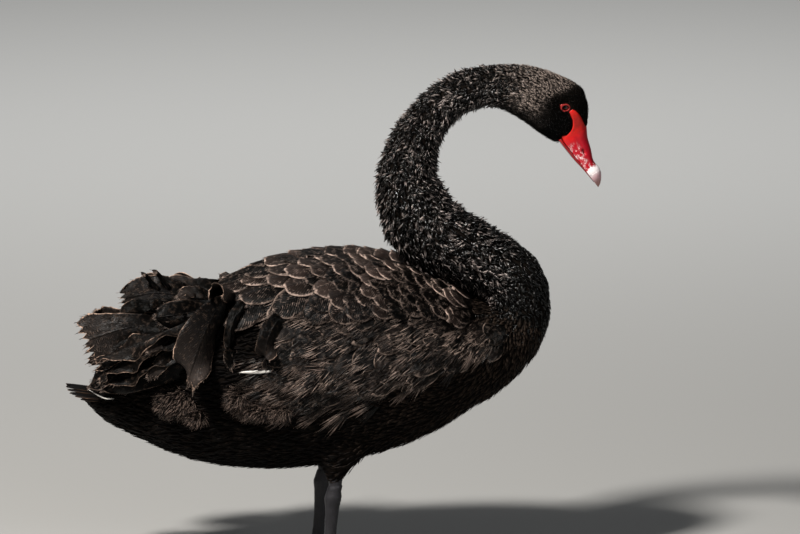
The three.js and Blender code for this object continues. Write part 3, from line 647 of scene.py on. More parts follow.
def group_material(name, group, values, bump, distance, **constants):
    """A material whose colour, roughness and relief come from a node group with values of its own."""
    material, tree, shader = new_material(name, **constants)
    given = new_node(tree, "ShaderNodeGroup", values, node_tree=group).outputs
    feed(tree, shader, given["Color"], given["Roughness"], given["Height"], bump, distance)
    return material


plumage_group = new_group("plumage", {
    "Dark": (0.01, 0.008, 0.007, 1), "Light": (0.05, 0.036, 0.03, 1), "Fringe": (0.16, 0.12, 0.1, 1),
    "Fringe Width": 0.12, "Barbs": 30.0, "Slant": 0.35, "Streaks": 0.0, "Root Shade": 0.0, "Variety": 0.9,
    "Patches": 1.0, "Base Roughness": 0.5,
})


def build_plumage_group(tree):
    """Brown-black vanes: barbs that slant out from the shaft, patches of tone and a paler, worn fringe,
    with thin pale barb lines that are painted highlights and roots darkened as painted shade.
    """
    calc, sway, blend, span, noise = node_steps(tree)
    given = new_node(tree, "NodeGroupInput").outputs
    place = place_node(tree)
    vane = new_node(tree, "ShaderNodeUVMap", uv_map="Vane").outputs[0]
    across, along, _ = new_node(tree, "ShaderNodeSeparateXYZ", {0: vane}).outputs
    shade = new_node(tree, "ShaderNodeAttribute", attribute_name="shade").outputs["Fac"]
    off_shaft = calc("ABSOLUTE", calc("MULTIPLY_ADD", across, 2.0, -1.0))

    worn = noise(place, 420.0, 2.0)
    slant = calc("SUBTRACT", along, calc("MULTIPLY", off_shaft, given["Slant"]))
    jitter = calc("MULTIPLY_ADD", worn, 0.05, slant)
    stripe = calc("SINE", calc("MULTIPLY", jitter, given["Barbs"]))
    parted = span(noise(place, 130.0, 2.0), 0.35, 0.65, 0.15, 0.5)
    barb = calc("MULTIPLY_ADD", stripe, parted, 0.5)
    # Thin pale lines along the barbs, in scattered patches: painted highlights of barbs that catch the
    # light.
    thin_line = calc("POWER", calc("MULTIPLY_ADD", stripe, 0.5, 0.5, clamp=True), 4.0)
    painted_light = span(noise(place, 190.0, 2.0), 0.5, 0.72, 0.0, given["Streaks"])

    past = calc("MULTIPLY_ADD", along, 1 / 0.42, -0.58 / 0.42, clamp=True)
    narrowed = calc("SQRT", calc("MULTIPLY_ADD", calc("POWER", past, 2.0), -0.95, 1.0))
    to_side = calc("MULTIPLY", calc("SUBTRACT", 1.0, off_shaft), narrowed)
    to_tip = calc("MULTIPLY", calc("SUBTRACT", 1.0, along), 3.2)
    ragged = calc("MULTIPLY", calc("SUBTRACT", worn, 0.5), given["Fringe Width"])
    ragged = calc("MULTIPLY_ADD", ragged, 1.8, calc("MINIMUM", to_side, to_tip))
    edge = calc("MINIMUM", span(ragged, 0.0, given["Fringe Width"], 1.25, 0.0), 1.0)
    kept = span(noise(place, 75.0, 3.0), 0.36, 0.6, 0.15, 1.0)
    kept = calc("MULTIPLY", kept, calc("MULTIPLY_ADD", shade, 1.4, 0.0, clamp=True))
    fringe = calc("MULTIPLY", calc("MULTIPLY", edge, span(along, 0.3, 0.7)), kept)

    patch = noise(place, 38.0, 4.0)
    tone = sway(shade, given["Variety"], sway(patch, given["Patches"], 0.5))
    tone = calc("POWER", sway(barb, 0.6, tone, clamp=True), 2.2)
    # Darker towards the root: painted shade where the feather before lies over this one.
    tone = calc("MULTIPLY", tone, calc("POWER", span(along, given["Root Shade"], 1.0), 1.5))
    shaft = span(off_shaft, 0.0, 0.07, 0.6, 0.0)
    colour = blend(shaft, blend(tone, given["Dark"], given["Light"]), given["Dark"])
    colour = blend(calc("MULTIPLY", thin_line, painted_light), colour, given["Fringe"])
    colour = blend(fringe, colour, given["Fringe"])
    dull = sway(patch, 0.4, given["Base Roughness"])
    height = calc("ADD", barb, calc("MULTIPLY", shaft, 2.0))
    new_node(tree, "NodeGroupOutput", {"Color": colour, "Roughness": dull, "Height": height})


build_plumage_group(plumage_group)


def plumage(
    name, dark, light, fringe, fringe_width, barbs, roughness, bump, specular, slant=0.35, barb_highlights=0.0,
    root_shade=0.0, variety=0.9, patches=1.0
):
    """A plumage material with its own tones, fringe and gloss."""
    values = {
        "Dark": (*dark, 1), "Light": (*light, 1), "Fringe": (*fringe, 1),
        "Fringe Width": fringe_width, "Barbs": barbs, "Slant": slant, "Streaks": barb_highlights,
        "Root Shade": root_shade, "Variety": variety, "Patches": patches, "Base Roughness": roughness,
    }
    return group_material(name, plumage_group, values, bump, 0.5, **{"Specular IOR Level": specular})


SOOT = (0.03, 0.021, 0.0155)
BROWN = (0.045, 0.031, 0.024)
breast_material = plumage(
    "breast_plumage", BLACK, SOOT, BROWN, fringe_width=0.3, barbs=12.0, roughness=0.6, bump=0.15,
    specular=0.03,
)


def body_gap(x):
    """The distance between the roots at x: they crowd together in front."""
    return (BODY_FEATHER["gap"] + BODY_FEATHER["wider_gap"] * ease(200 * MM, 60 * MM, x)) * MM


def under_wing(x, turn):
    """Whether a place of the body lies under the wing's own feathers."""
    return turn < (84 - 0.0006 * (x - 20) ** 2 if -72 < x < 135 else 50 if -175 < x < 0 else 0)


for half_name, low_x, high_x in (("front", 60, 247), ("rear", -298, 60)):
    roots = body_roots(high_x, low_x, body_gap, lambda x, turn: not under_wing(x, turn))
    size = 0.8 + 0.25 * ease(200, -60, roots.share) + 0.5 * ease(-240, -285, roots.share)
    count = len(size)
    # Paler towards the front of the breast as a painted warm glow of light from below, and black in the
    # hollow under the wing as painted shade; the rest of the tone varies at random.
    painted_hollow_shade = ease(-60, -75, roots.share) * ease(-200, -160, roots.share)
    painted_hollow_shade = painted_hollow_shade * ease(108, 98, body_turn(np.array(roots.place)))
    tone = (rng.uniform(0, 0.45, count) + 0.55 * ease(0, 120, roots.share)) * (1 - painted_hollow_shade)
    length = spread_of(BODY_FEATHER["long"] * size, 0.3)
    width = spread_of(BODY_FEATHER["wide"] * size, 0.25)
    lift, swing = rng.uniform(0.8, 3.6, count) * MM, rng.normal(0, 13, count)
    blades(
        f"body_feathers_{half_name}", roots, length, width, lift, swing, breast_material,
        ROUNDED, high=0.12, shade=tone,
    )

# Feathers of neck and head
# Short pointed feathers that stand out a little, as when wet, down the whole neck. They grow finer
# and lie closer towards the head, which is velvety, and leave the eye and the bare skin free.
HEAD_SHARE = 0.85  # of the way up the neck line, where the head starts
BILL_UP = Vector((-math.sin(BILL_SLOPE), 0, math.cos(BILL_SLOPE)))
POINTED = (0.0, 0.9, 0.75, 0.0)
NECK_FEATHER = {"long": 9.0, "wide": 2.9, "lift": 5.4, "gap": 3.2}
HEAD_FEATHER = {"long": 7.0, "wide": 1.25, "lift": 3.4, "gap": 1.45}
EYE_CLEAR = {"ahead": 1.6 * MM, "long": 7.8 * MM, "tall": 6.0 * MM}
LORE_OUTLINE = (  # x, z of the bare skin's edge, seen from the side
    (272.0, 537.0), (273.2, 531.2), (276.4, 523.4), (275.8, 514.0), (271.6, 508.8), (261.5, 501.0),
    (277.0, 488.0), (300.0, 490.0), (300.0, 517.0), (291.0, 516.9), (288.3, 524.4), (283.6, 532.8),
    (277.6, 537.4),
)

eye_boxes = {side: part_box(f"eye_{side}") for side in ("left", "right")}
EYE_SHIFT = Vector((-0.9, 0, 0.6)) * MM
eye_middle = {side: (low + high) / 2 + EYE_SHIFT for side, (low, high) in eye_boxes.items()}
EYE_RADIUS = (eye_boxes["left"][1].x - eye_boxes["left"][0].x) / 2


def inside_outline(x, z, outline):
    """Whether a point lies inside a closed line."""
    inside = False
    for (ax, az), (bx, bz) in zip(outline, outline[1:] + outline[:1]):
        if (az > z) != (bz > z) and x < (bx - ax) * (z - az) / (bz - az) + ax:
            inside = not inside
    return inside


def is_bare(place):
    """Whether a place of the head is bare skin, eye or bill."""
    off_x = (place.x - eye_middle["left"].x - EYE_CLEAR["ahead"]) / EYE_CLEAR["long"]
    off_z = (place.z - eye_middle["left"].z) / EYE_CLEAR["tall"]
    near_eye = off_x**2 + off_z**2 < 1 and abs(place.y) > 10 * MM
    seen = inside_outline(place.x / MM, place.z / MM, LORE_OUTLINE) and abs(place.y) > 4.5 * MM
    past_base = (place - BILL_BASE).dot(BILL_WAY) > -0.5 * MM and place.z > 480 * MM
    on_chin = (place - BILL_BASE).dot(BILL_UP) < -13.5 * MM
    on_chin = on_chin and (place - BILL_BASE).dot(BILL_WAY) < 2.5 * MM
    return near_eye or seen or (past_base and not on_chin)


def neck_roots(first, last, gap):
    """Roots in staggered rows round the neck line between two shares of its length."""
    roots = Roots()
    share, row = last, 0
    while share > first:
        k = share * (len(neck_share) - 1)
        x, z, radius = [np.interp(k, np.arange(len(neck_share)), column) for column in neck_rows.T]
        wx, wz = [np.interp(k, np.arange(len(neck_share)), column) for column in neck_way.T]
        way = Vector((wx, 0, wz)).normalized()
        up = Vector((wz, 0, -wx)).normalized()
        spacing = gap(share)
        count = max(6, round(2 * math.pi * radius * 0.93 / spacing))
        for i in range(count):
            turn = -180 + 360 * (i + 0.5 * (row % 2) + rng.uniform(-LOOSE, LOOSE)) / count
            s, c = turned(turn)
            out = up * c + Vector((0, s, 0))
            start = Vector((x, 0, z)) + way * rng.uniform(-LOOSE, LOOSE) * spacing
            hit, normal = cast(start, out, 1.35 * radius)
            if hit is not None and not is_bare(hit):
                roots.add(hit, way, normal, neck_unwrap(share, turn), share)
        share -= ROW_STEP * spacing / neck_length
        row += 1
    return roots.arrays()


DEEP_BLACK = (0.0006, 0.0005, 0.0004)
# The neck feathers' pale brown tips and near-white fringes are painted glints of light on wet black
# feathers.
neck_glint_material = plumage(
    "neck_plumage_glints", DEEP_BLACK, (0.3, 0.245, 0.225), (0.95, 0.84, 0.79), fringe_width=0.35, barbs=9.0,
    roughness=0.22, bump=0.3, specular=0.25, variety=1.9,
)
# The head feathers' pale tone is a painted sheen of light on the crown and behind the eye.
head_material = plumage(
    "head_plumage", DEEP_BLACK, (0.33, 0.265, 0.23), (0.6, 0.5, 0.445), fringe_width=0.3, barbs=6.0,
    roughness=0.32, bump=0.3, specular=0.05, variety=1.9,
)


def thinned(roots, keep):
    """Some of the roots, each kept by its own chance."""
    return roots.at(np.flatnonzero(rng.uniform(0, 1, len(keep)) < keep))


def patchy(places, size):
    """A value from 0 to 1 at each place that changes smoothly over about that distance."""
    value = 0
    for _ in range(6):
        way = rng.normal(0, 1, 3)
        way *= 2 * math.pi / size / np.linalg.norm(way) * rng.uniform(0.7, 1.4)
        value = value + np.sin(places @ way + rng.uniform(0, 2 * math.pi))
    return np.clip(0.5 + value / 5, 0, 1)


def painted_head_light(roots):
    """How pale each feather of the head is: a painted sheen where light from above falls on the crown and
    behind the eye, and blackest round the eye, the face, the forehead and the throat as painted shade.
    """
    places = np.array(roots.place)
    ahead, above = places[:, 0] - eye_middle["left"].x, places[:, 2] - eye_middle["left"].z
    from_eye = np.hypot(ahead, above)
    rear = ease(-0.008, -0.038, ahead) * (0.4 + 0.6 * ease(-0.022, 0.004, above))
    brow = ease(0.002, 0.016, above - 0.4 * (ahead + 0.014))
    painted_light = np.maximum(brow, rear) * (1 - 0.8 * ease(0.0, 0.026, ahead))
    throat = ease(0.0, 0.028, 0.54 - 0.5 * (places[:, 0] - 0.24) - places[:, 2])
    pale = ease(0.006, 0.02, from_eye) * painted_light * (1 - 0.7 * throat) * (1 - 0.35 * ease(-0.035, -0.06, ahead))
    return np.clip(pale * rng.uniform(0.1, 1.2, len(places)), 0.0, 1)


for part_name, first, last in (("lower", 0.02, 0.4), ("upper", 0.4, HEAD_SHARE + 0.05)):
    roots = neck_roots(first, last, lambda share: (NECK_FEATHER["gap"] - 0.7 * ease(0.25, 0.8, share)) * MM)
    upward = ease(0.02, 0.14, roots.share)
    below_head = 1 - ease(HEAD_SHARE - 0.05, HEAD_SHARE + 0.05, roots.share)
    roots = thinned(roots, below_head * (0.3 + 0.7 * upward))
    upward = ease(0.02, 0.16, roots.share)
    fine = ease(0.3, HEAD_SHARE, roots.share)
    stand = (1 - ease(HEAD_SHARE - 0.12, HEAD_SHARE + 0.05, roots.share)) * (0.2 + 0.8 * upward)
    places = np.array(roots.place)
    clump, curl = patchy(places, 9 * MM), patchy(places, 11 * MM)
    count = len(fine)
    shaded = ease(0.185, 0.225, places[:, 0]) * ease(0.42, 0.36, places[:, 2])
    spiky = stand * (1 - shaded) * (rng.uniform(0, 1, count) < 0.16)
    length = spread_of((NECK_FEATHER["long"] - 2.5 * fine + 2.0 * spiky) * MM, 0.3)
    width = spread_of((NECK_FEATHER["wide"] - 0.8 * fine) * MM, 0.3)
    lift = 0.1 + 0.7 * clump + 0.6 * spiky + rng.uniform(0, 0.35, count)
    lift = lift * (NECK_FEATHER["lift"] - 1.0 * fine) * (0.3 + 0.7 * stand) * (1 - 0.5 * shaded) * MM
    swing = (curl - 0.5) * 110 + rng.normal(0, 1, count) * 24
    # How much painted glint each feather shows: in clumps, less towards the foot of the neck, and less on
    # its lower front as painted shade.
    pale = (0.6 * clump + rng.uniform(0, 0.5, count)) * (0.35 + 0.65 * upward) * (1 - 0.35 * shaded)
    blades(
        f"neck_feathers_{part_name}", roots, length, width, lift, swing, neck_glint_material,
        POINTED, high=0.3, shade=np.clip(pale, 0, 1) ** 3.4,
    )

roots = neck_roots(HEAD_SHARE - 0.06, 1.0, lambda share: HEAD_FEATHER["gap"] * MM)
roots = thinned(roots, ease(HEAD_SHARE - 0.06, HEAD_SHARE + 0.04, roots.share))
close = ease(HEAD_SHARE - 0.03, 0.93, roots.share)
under = ease(-0.1, -0.7, np.array(roots.normal)[:, 2])
count = len(close)
length = spread_of((HEAD_FEATHER["long"] - 2.6 * close + 2.0 * under) * MM, 0.25)
width = spread_of((HEAD_FEATHER["wide"] - 0.25 * close) * MM, 0.2)
lift = rng.uniform(0.1, 1.0, count) * (HEAD_FEATHER["lift"] - 1.8 * close + 1.2 * under) * MM
swing = rng.normal(0, 1, count) * (24 - 8 * close)
blades(
    "head_feathers", roots, length, width, lift, swing, head_material, POINTED,
    shade=painted_head_light(roots),
)

# Folded wings
# Each wing is folded on the back under its shoulder feathers: broad rounded vanes in rows that
# overlap like tiles, crowded in front and longer behind, with pale worn edges. They end in a line
# along the side, and the looser coverts below come out from under it.
SIDES = ((1, "left"), (-1, "right"))
WING_REAR = -98
COVERT = {
    "long": 52 * MM, "wide": 35 * MM, "long_spread": 0.12, "wide_spread": 0.12, "swing": 4.5,
    "rings": 11, "columns": 9, "ragged": 0.12,
}
BREAST_VANE = {
    "long": 36 * MM, "wide": 29 * MM, "long_spread": 0.12, "wide_spread": 0.12, "swing": 9,
    "rings": 10, "columns": 7, "ragged": 0.16,
}
SHOULDER_VANE = {
    "long": 66, "wide": 42, "long_spread": 0.07, "wide_spread": 0.08, "swing": 4,
    "rings": 13, "columns": 9, "ragged": 0.025,
}
VANE_PATCH = 0.012  # size of one larger vane's patch on the map that the colours are kept on


def tipward(rings):
    """Shares of the way along a vane, closer together towards its tip."""
    return 1 - (1 - np.linspace(0, 1, rings)) ** 1.7


def vane_width(at, root=0.4, rounds=0.58, end=0.22):
    """The share of its full width that a vane has along its length."""
    widening = root + (1 - root) * np.sin(np.pi / 2 * np.minimum(1, at / 0.55))
    past = np.clip((at - rounds) / (1 - rounds), 0, 1)
    return widening * np.sqrt(1 - (1 - end**2) * past**2)


def plate_parts(rings, columns):
    """Faces and vane coordinates of one thin plate: upper face, lower face and rim."""
    one = rings * columns
    corners = []
    for k in range(rings - 1):
        for c in range(columns - 1):
            a, b = k * columns + c, (k + 1) * columns + c
            corners += [a, b, b + 1, a + 1, a + one, a + 1 + one, b + 1 + one, b + one]
    rim = [k * columns for k in range(rings)]
    rim += [(rings - 1) * columns + c for c in range(1, columns)]
    rim += [k * columns + columns - 1 for k in range(rings - 2, -1, -1)]
    rim += list(range(columns - 2, 0, -1))
    for i, a in enumerate(rim):
        b = rim[(i + 1) % len(rim)]
        corners += [b, a, a + one, b + one]
    grid = [(c / (columns - 1), at) for at in tipward(rings) for c in range(columns)]
    return corners, [4] * (len(corners) // 4), grid * 2


def grid_normals(grid):
    """Smooth normals of grids of points, by ring and column."""
    facing = np.cross(np.gradient(grid, axis=1), np.gradient(grid, axis=2))
    return facing / np.maximum(np.linalg.norm(facing, axis=3), 1e-12)[..., None]


def plates(name, grid, unwrap, patch, material, slot, thick=(0.45, 0.16), replaces=(), shade=None):
    """Feathers as thin closed plates from grids of points on their upper faces."""
    count, rings, columns = grid.shape[:3]
    normals = grid_normals(grid)
    depth = (np.linspace(*thick, rings) * MM)[None, :, None, None]
    points = np.concatenate([grid, grid - normals * depth], 1).reshape(count, -1, 3)
    shade = rng.uniform(0, 1, count) if shade is None else np.array(shade)
    mesh = joined_mesh(name, points, *plate_parts(rings, columns), unwrap, patch, shade)
    return new_object(name, mesh, material, replaces)


def skin_vanes(roots, length, width, swing, rings, columns, ragged=0.06):
    """Grids of points for vanes that lie on the skin, with rounded and slightly ragged tips."""
    paths, normals, ways = follow(roots, length, swing, tipward(rings))
    sides = np.cross(normals, ways)
    at = tipward(rings)[None, :, None]
    across = np.linspace(-1, 1, columns)[None, None, :]
    count = len(paths)
    fray = rng.uniform(-1, 0.2, (count, 1, columns)) * ragged * at**5
    back = length[:, None, None] * fray
    nick = 1 + rng.uniform(-1, 0.2, (count, rings, columns)) * ragged * at**2
    out = width[:, None, None] * vane_width(at) * across * nick / 2
    grid = paths[:, :, None] + sides[:, :, None] * out[..., None] + ways[:, :, None] * back[..., None]
    flat = grid.reshape(-1, 3)
    for i, point in enumerate(flat):
        flat[i] = skin_tree.find_nearest(Vector(point))[0]
    return flat.reshape(grid.shape), at, across


def lifted(grid, at, across, root, tip, cup, lean, tilt, power=1.0):
    """The same grids raised off the skin: more at the tips, less at the edges, each over the next below."""
    count = len(grid)
    spare = rng.uniform(0.9, 1.1, (count, 1, 1))
    askew = lean + rng.uniform(-1, 1, (count, 1, 1)) * tilt
    height = root + (tip * spare - root) * at**power + askew * across * at - cup * across**2 * at
    height = height + 0.25 * np.maximum(0, 1 - np.abs(across) * 4)
    return grid + grid_normals(grid) * (height * MM)[..., None]


def wing_roots(side, rows, turns, lie, loose=0.08):
    """Roots in staggered rows over the folded wing: rows give x, and turns the spread of columns."""
    roots = Roots()
    for row, x in enumerate(rows):
        first, last, apart = turns(x)
        top, level, belly, half = body_at(x * MM)
        step = math.degrees(apart * MM / ((top - level + half) / 2 + WING_SWELL))
        for turn in np.arange(first + step * 0.5 * (row % 2), last, step):
            turn += rng.uniform(-loose, loose) * step
            here = (x + rng.uniform(-loose, loose) * apart) * MM
            hit, normal = body_hit(here, side * turn, (top, level, belly, half), 1.4)
            if hit is not None:
                slope = math.radians(lie(x, turn))
                down = normal.cross(AHEAD) * side
                way = Vector((-math.cos(slope), 0, 0)) + down * math.sin(slope)
                roots.add(hit, way, normal, body_unwrap(here, side * turn), (x, turn))
    return roots.arrays()


def spaced(front, rear, gap):
    """Places from front to rear, each a gap behind the last."""
    places = [front]
    while places[-1] > rear:
        places.append(places[-1] - gap(places[-1]))
    return places[:-1]


def tip_barbs(grid, at_tip, reach, per, spread, loose=0.18, on_face=0.0):
    """Paths of loose barbs that stand out round the tips of vanes, and a share of them from their faces."""
    count, rings, columns = grid.shape[:3]
    normals = grid_normals(grid)
    along = grid[:, 1:] - grid[:, :-1]
    along /= np.linalg.norm(along, axis=3)[..., None]
    which = np.repeat(np.arange(count), per)
    across = rng.uniform(-1, 1, len(which))
    at_side = np.abs(across) > 0.45
    near_side = np.where(across > 0, columns - 1, 0)
    column = np.where(at_side, near_side, ((across / 0.45 + 1) / 2 * (columns - 1)).round()).astype(int)
    ring = np.where(at_side, rng.integers(rings - at_tip, rings, len(which)), rings - 1)
    inner = rng.uniform(0, 1, len(which)) < on_face
    column = np.where(inner, rng.integers(1, columns - 1, len(which)), column)
    ring = np.where(inner, rng.integers(rings - at_tip, rings, len(which)), ring)
    root = grid[which, ring, column]
    normal = normals[which, ring, column]
    way = along[which, np.minimum(ring, rings - 2), columns // 2]
    way = way + np.cross(normal, way) * (across * spread + rng.normal(0, loose, len(which)))[:, None]
    way /= np.linalg.norm(way, axis=1)[:, None]
    length = reach * MM * rng.uniform(0.35, 1, len(which))
    steps = np.linspace(-0.5, 1, 4)[None, :, None]
    paths = root[:, None] + way[:, None] * length[:, None, None] * steps
    paths = paths + normal[:, None] * (0.1 * MM)
    return paths, np.repeat(normal[:, None], 4, 1), np.repeat(way[:, None], 4, 1), which


HAIR = (0.0, 1.0, 0.7, 0.0)
COVERT_BARBS = {
    "widths": (0.35, 0.95), "palest": (0.25, 1), "at_tip": 6, "reach": 17, "per": 60, "spread": 0.2,
    "loose": 0.06, "on_face": 0.5,
}
BREAST_BARBS = {
    **COVERT_BARBS, "widths": (0.4, 0.9), "palest": (0.2, 1), "reach": 12, "per": 44, "on_face": 0.45,
}
SHOULDER_BARBS = {
    "widths": (0.2, 0.4), "at_tip": 5, "reach": 4.5, "per": 34, "spread": 0.4, "loose": 0.18, "on_face": 0.2,
}


def barb_fringe(name, grid, unwrap, slot, widths, palest=None, **barbs):
    """Loose barbs round the tips of vanes, as blades. Palest gives each vane a shade of its own."""
    paths, normals, ways, which = tip_barbs(grid, **barbs)
    width = rng.uniform(*widths, len(paths)) * MM
    shade = None
    if palest:
        shade = rng.uniform(*palest, len(grid))[which] * rng.uniform(0.4, 1, len(paths))
    blade_mesh(
        name, paths, normals, ways, np.array(unwrap)[which], width, HAIR, barb_material, shade=shade
    )


shoulder_material = plumage(
    "shoulder_plumage", DEEP_BLACK, (0.029, 0.0202, 0.017), (0.38, 0.285, 0.24), fringe_width=0.19,
    barbs=110.0, roughness=0.36, bump=0.8, specular=0.04, barb_highlights=0.4, root_shade=0.3, variety=1.3, patches=0.45,
)
covert_material = plumage(
    "covert_plumage", DEEP_BLACK, (0.013, 0.0094, 0.008), (0.34, 0.255, 0.21), fringe_width=0.12,
    barbs=90.0, roughness=0.38, bump=0.9, specular=0.05, slant=0.9, barb_highlights=0.35, root_shade=0.25, variety=1.0,
    patches=0.5,
)
barb_material = plumage(
    "loose_barbs", (0.0008, 0.0006, 0.0005), (0.46, 0.345, 0.286), (0.6, 0.46, 0.385), fringe_width=0.4,
    barbs=8.0, roughness=0.36, bump=0.1, specular=0.2, variety=3.2,
)


def shoulder_gap(x):
    """The distance between rows of shoulder feathers at x: they crowd together in front."""
    return 28 - 21.5 * ease(-35, 66, x)


def shoulder_lie(x, turn):
    """How steeply the shoulder feathers point down: along the back above, and downwards at the side."""
    steep = 40 - 22 * ease(48, 90, x)
    front = 12 * ease(30, 90, x)
    return (7 + steep * ease(28, 52, turn) + front) * (0.45 + 0.55 * ease(-95, -20, x)) + 6


def shoulder_turns(x):
    """Turns between which the shoulder feathers grow at x, and how far apart they are, in millimetres."""
    low = 48 - 3 * ease(70, 160, x) - 5 * ease(-10, -80, x)
    return 3, low, 25 - 3 * ease(20, 130, x)


def vane_group(name, barb_name, roots, vane, lift, material, slot, barbs, **more):
    """Vanes of varied sizes over the skin from their roots, with loose barbs round their tips."""
    count = len(roots.place)
    length = spread_of(np.full(count, vane["long"]), vane["long_spread"])
    width = spread_of(np.full(count, vane["wide"]), vane["wide_spread"])
    swing = rng.normal(0, vane["swing"], count)
    laid = skin_vanes(roots, length, width, swing, vane["rings"], vane["columns"], vane["ragged"])
    grid = lifted(*laid, **lift)
    plates(name, grid, roots.unwrap, VANE_PATCH, material, slot, **more)
    barb_fringe(barb_name, grid, roots.unwrap, slot, **barbs)


scapular_rows = spaced(162, WING_REAR + 12, shoulder_gap)
breast_rows = spaced(200, 96, lambda x: 10)
covert_rows = spaced(140, WING_REAR + 62, lambda x: 25 - 9 * ease(0, 140, x))
for side, side_name in SIDES:
    lower = wing_roots(
        side, covert_rows, lambda x: (46, 100 - 22 * ease(60, 170, x), 24),
        lambda x, turn: 26 + 14 * ease(0, 150, x), 0.25,
    )
    vane_group(
        f"wing_coverts_{side_name}", f"covert_barbs_{side_name}", lower, COVERT,
        {"root": 0.4, "tip": 7.5, "cup": 2.2, "lean": -side * 1.2, "tilt": 1.2},
        covert_material, "wing_coverts", COVERT_BARBS, replaces=(f"wing_{side_name}",),
    )
    breast = wing_roots(
        side, breast_rows, lambda x: (50, 92 - 14 * ease(130, 200, x), 21),
        lambda x, turn: 30 + 16 * ease(110, 190, x), 0.15,
    )
    vane_group(
        f"breast_side_feathers_{side_name}", f"breast_side_barbs_{side_name}", breast, BREAST_VANE,
        {"root": 0.2, "tip": 6.0, "cup": 1.6, "lean": -side * 0.6, "tilt": 1.2},
        covert_material, "body_plumage", BREAST_BARBS,
    )
    upper = wing_roots(side, scapular_rows, shoulder_turns, shoulder_lie)
    place = np.array(upper.share)
    ahead = ease(-30, 115, place[:, 0])
    low_edge = ease(36, 50, place[:, 1])
    long = (SHOULDER_VANE["long"] - 25 * ahead - 12 * low_edge) * MM
    wide = (SHOULDER_VANE["wide"] - 6 * ahead - 5 * low_edge) * MM
    tip = (8.5 + 3.0 * low_edge)[:, None, None]
    vane_group(
        f"shoulder_feathers_{side_name}", f"shoulder_barbs_{side_name}", upper,
        {**SHOULDER_VANE, "long": long, "wide": wide},
        {"root": 1.5, "tip": tip, "cup": 2.0, "lean": -side * 1.5, "tilt": 0.7},
        shoulder_material, "wing_coverts", SHOULDER_BARBS,
    )

# Flanks
# Long loose feathers grow from the side of the breast and cover the wing's lower edge. Their barbs
# don't hold together, so each is a brush of strands over a dark vane.
flank_material = plumage(
    "flank_plumage", DEEP_BLACK, (0.19, 0.138, 0.115), (0.45, 0.34, 0.28), fringe_width=0.3, barbs=10.0,
    roughness=0.34, bump=0.15, specular=0.2, root_shade=0.35, variety=2.6,
)
STRAND = (0.0, 0.8, 1.0, 0.6, 0.0)
FLANK_BRUSH = {"strands": 18, "fan": 11, "long": 40}


def fanned(roots, per, fan):
    """Several strands for each root, with the swing of each from the shaft in degrees."""
    which = np.repeat(np.arange(len(roots.place)), per)
    offset = np.tile(np.linspace(-1, 1, per), len(roots.place))
    return roots.at(which), which, offset, offset * fan + rng.normal(0, fan * 0.18, len(which))


def flank_edge(x):
    """Turns between which the flank feathers grow at x."""
    low = 112 - 22 * ease(20, 190, x) - 4 * ease(-40, -120, x)
    return 80 - 22 * ease(60, 190, x), low


for side, side_name in SIDES:
    flank = wing_roots(
        side, spaced(196, -72, lambda x: 11), lambda x: (*flank_edge(x), 13),
        lambda x, turn: 24 + 18 * ease(0, 150, x), 0.45,
    )
    many, which, offset, swing = fanned(flank, FLANK_BRUSH["strands"], FLANK_BRUSH["fan"])
    count = len(which)
    base = rng.uniform(0.75, 1.3, len(flank.place))[which]
    lean = rng.normal(0, 9, len(flank.place))[which]
    lift = rng.uniform(2.5, 8.5, len(flank.place))[which] * rng.uniform(0.7, 1.1, count) * MM
    length = base * (FLANK_BRUSH["long"] - 6 * offset**2) * rng.uniform(0.75, 1.1, count) * MM
    blades(
        f"flank_feathers_{side_name}", many, length, rng.uniform(0.8, 1.8, count) * MM, lift, swing + lean,
        flank_material, STRAND,
        shade=rng.uniform(0.2, 1, len(flank.place))[which] * rng.uniform(0.45, 1, count),
    )

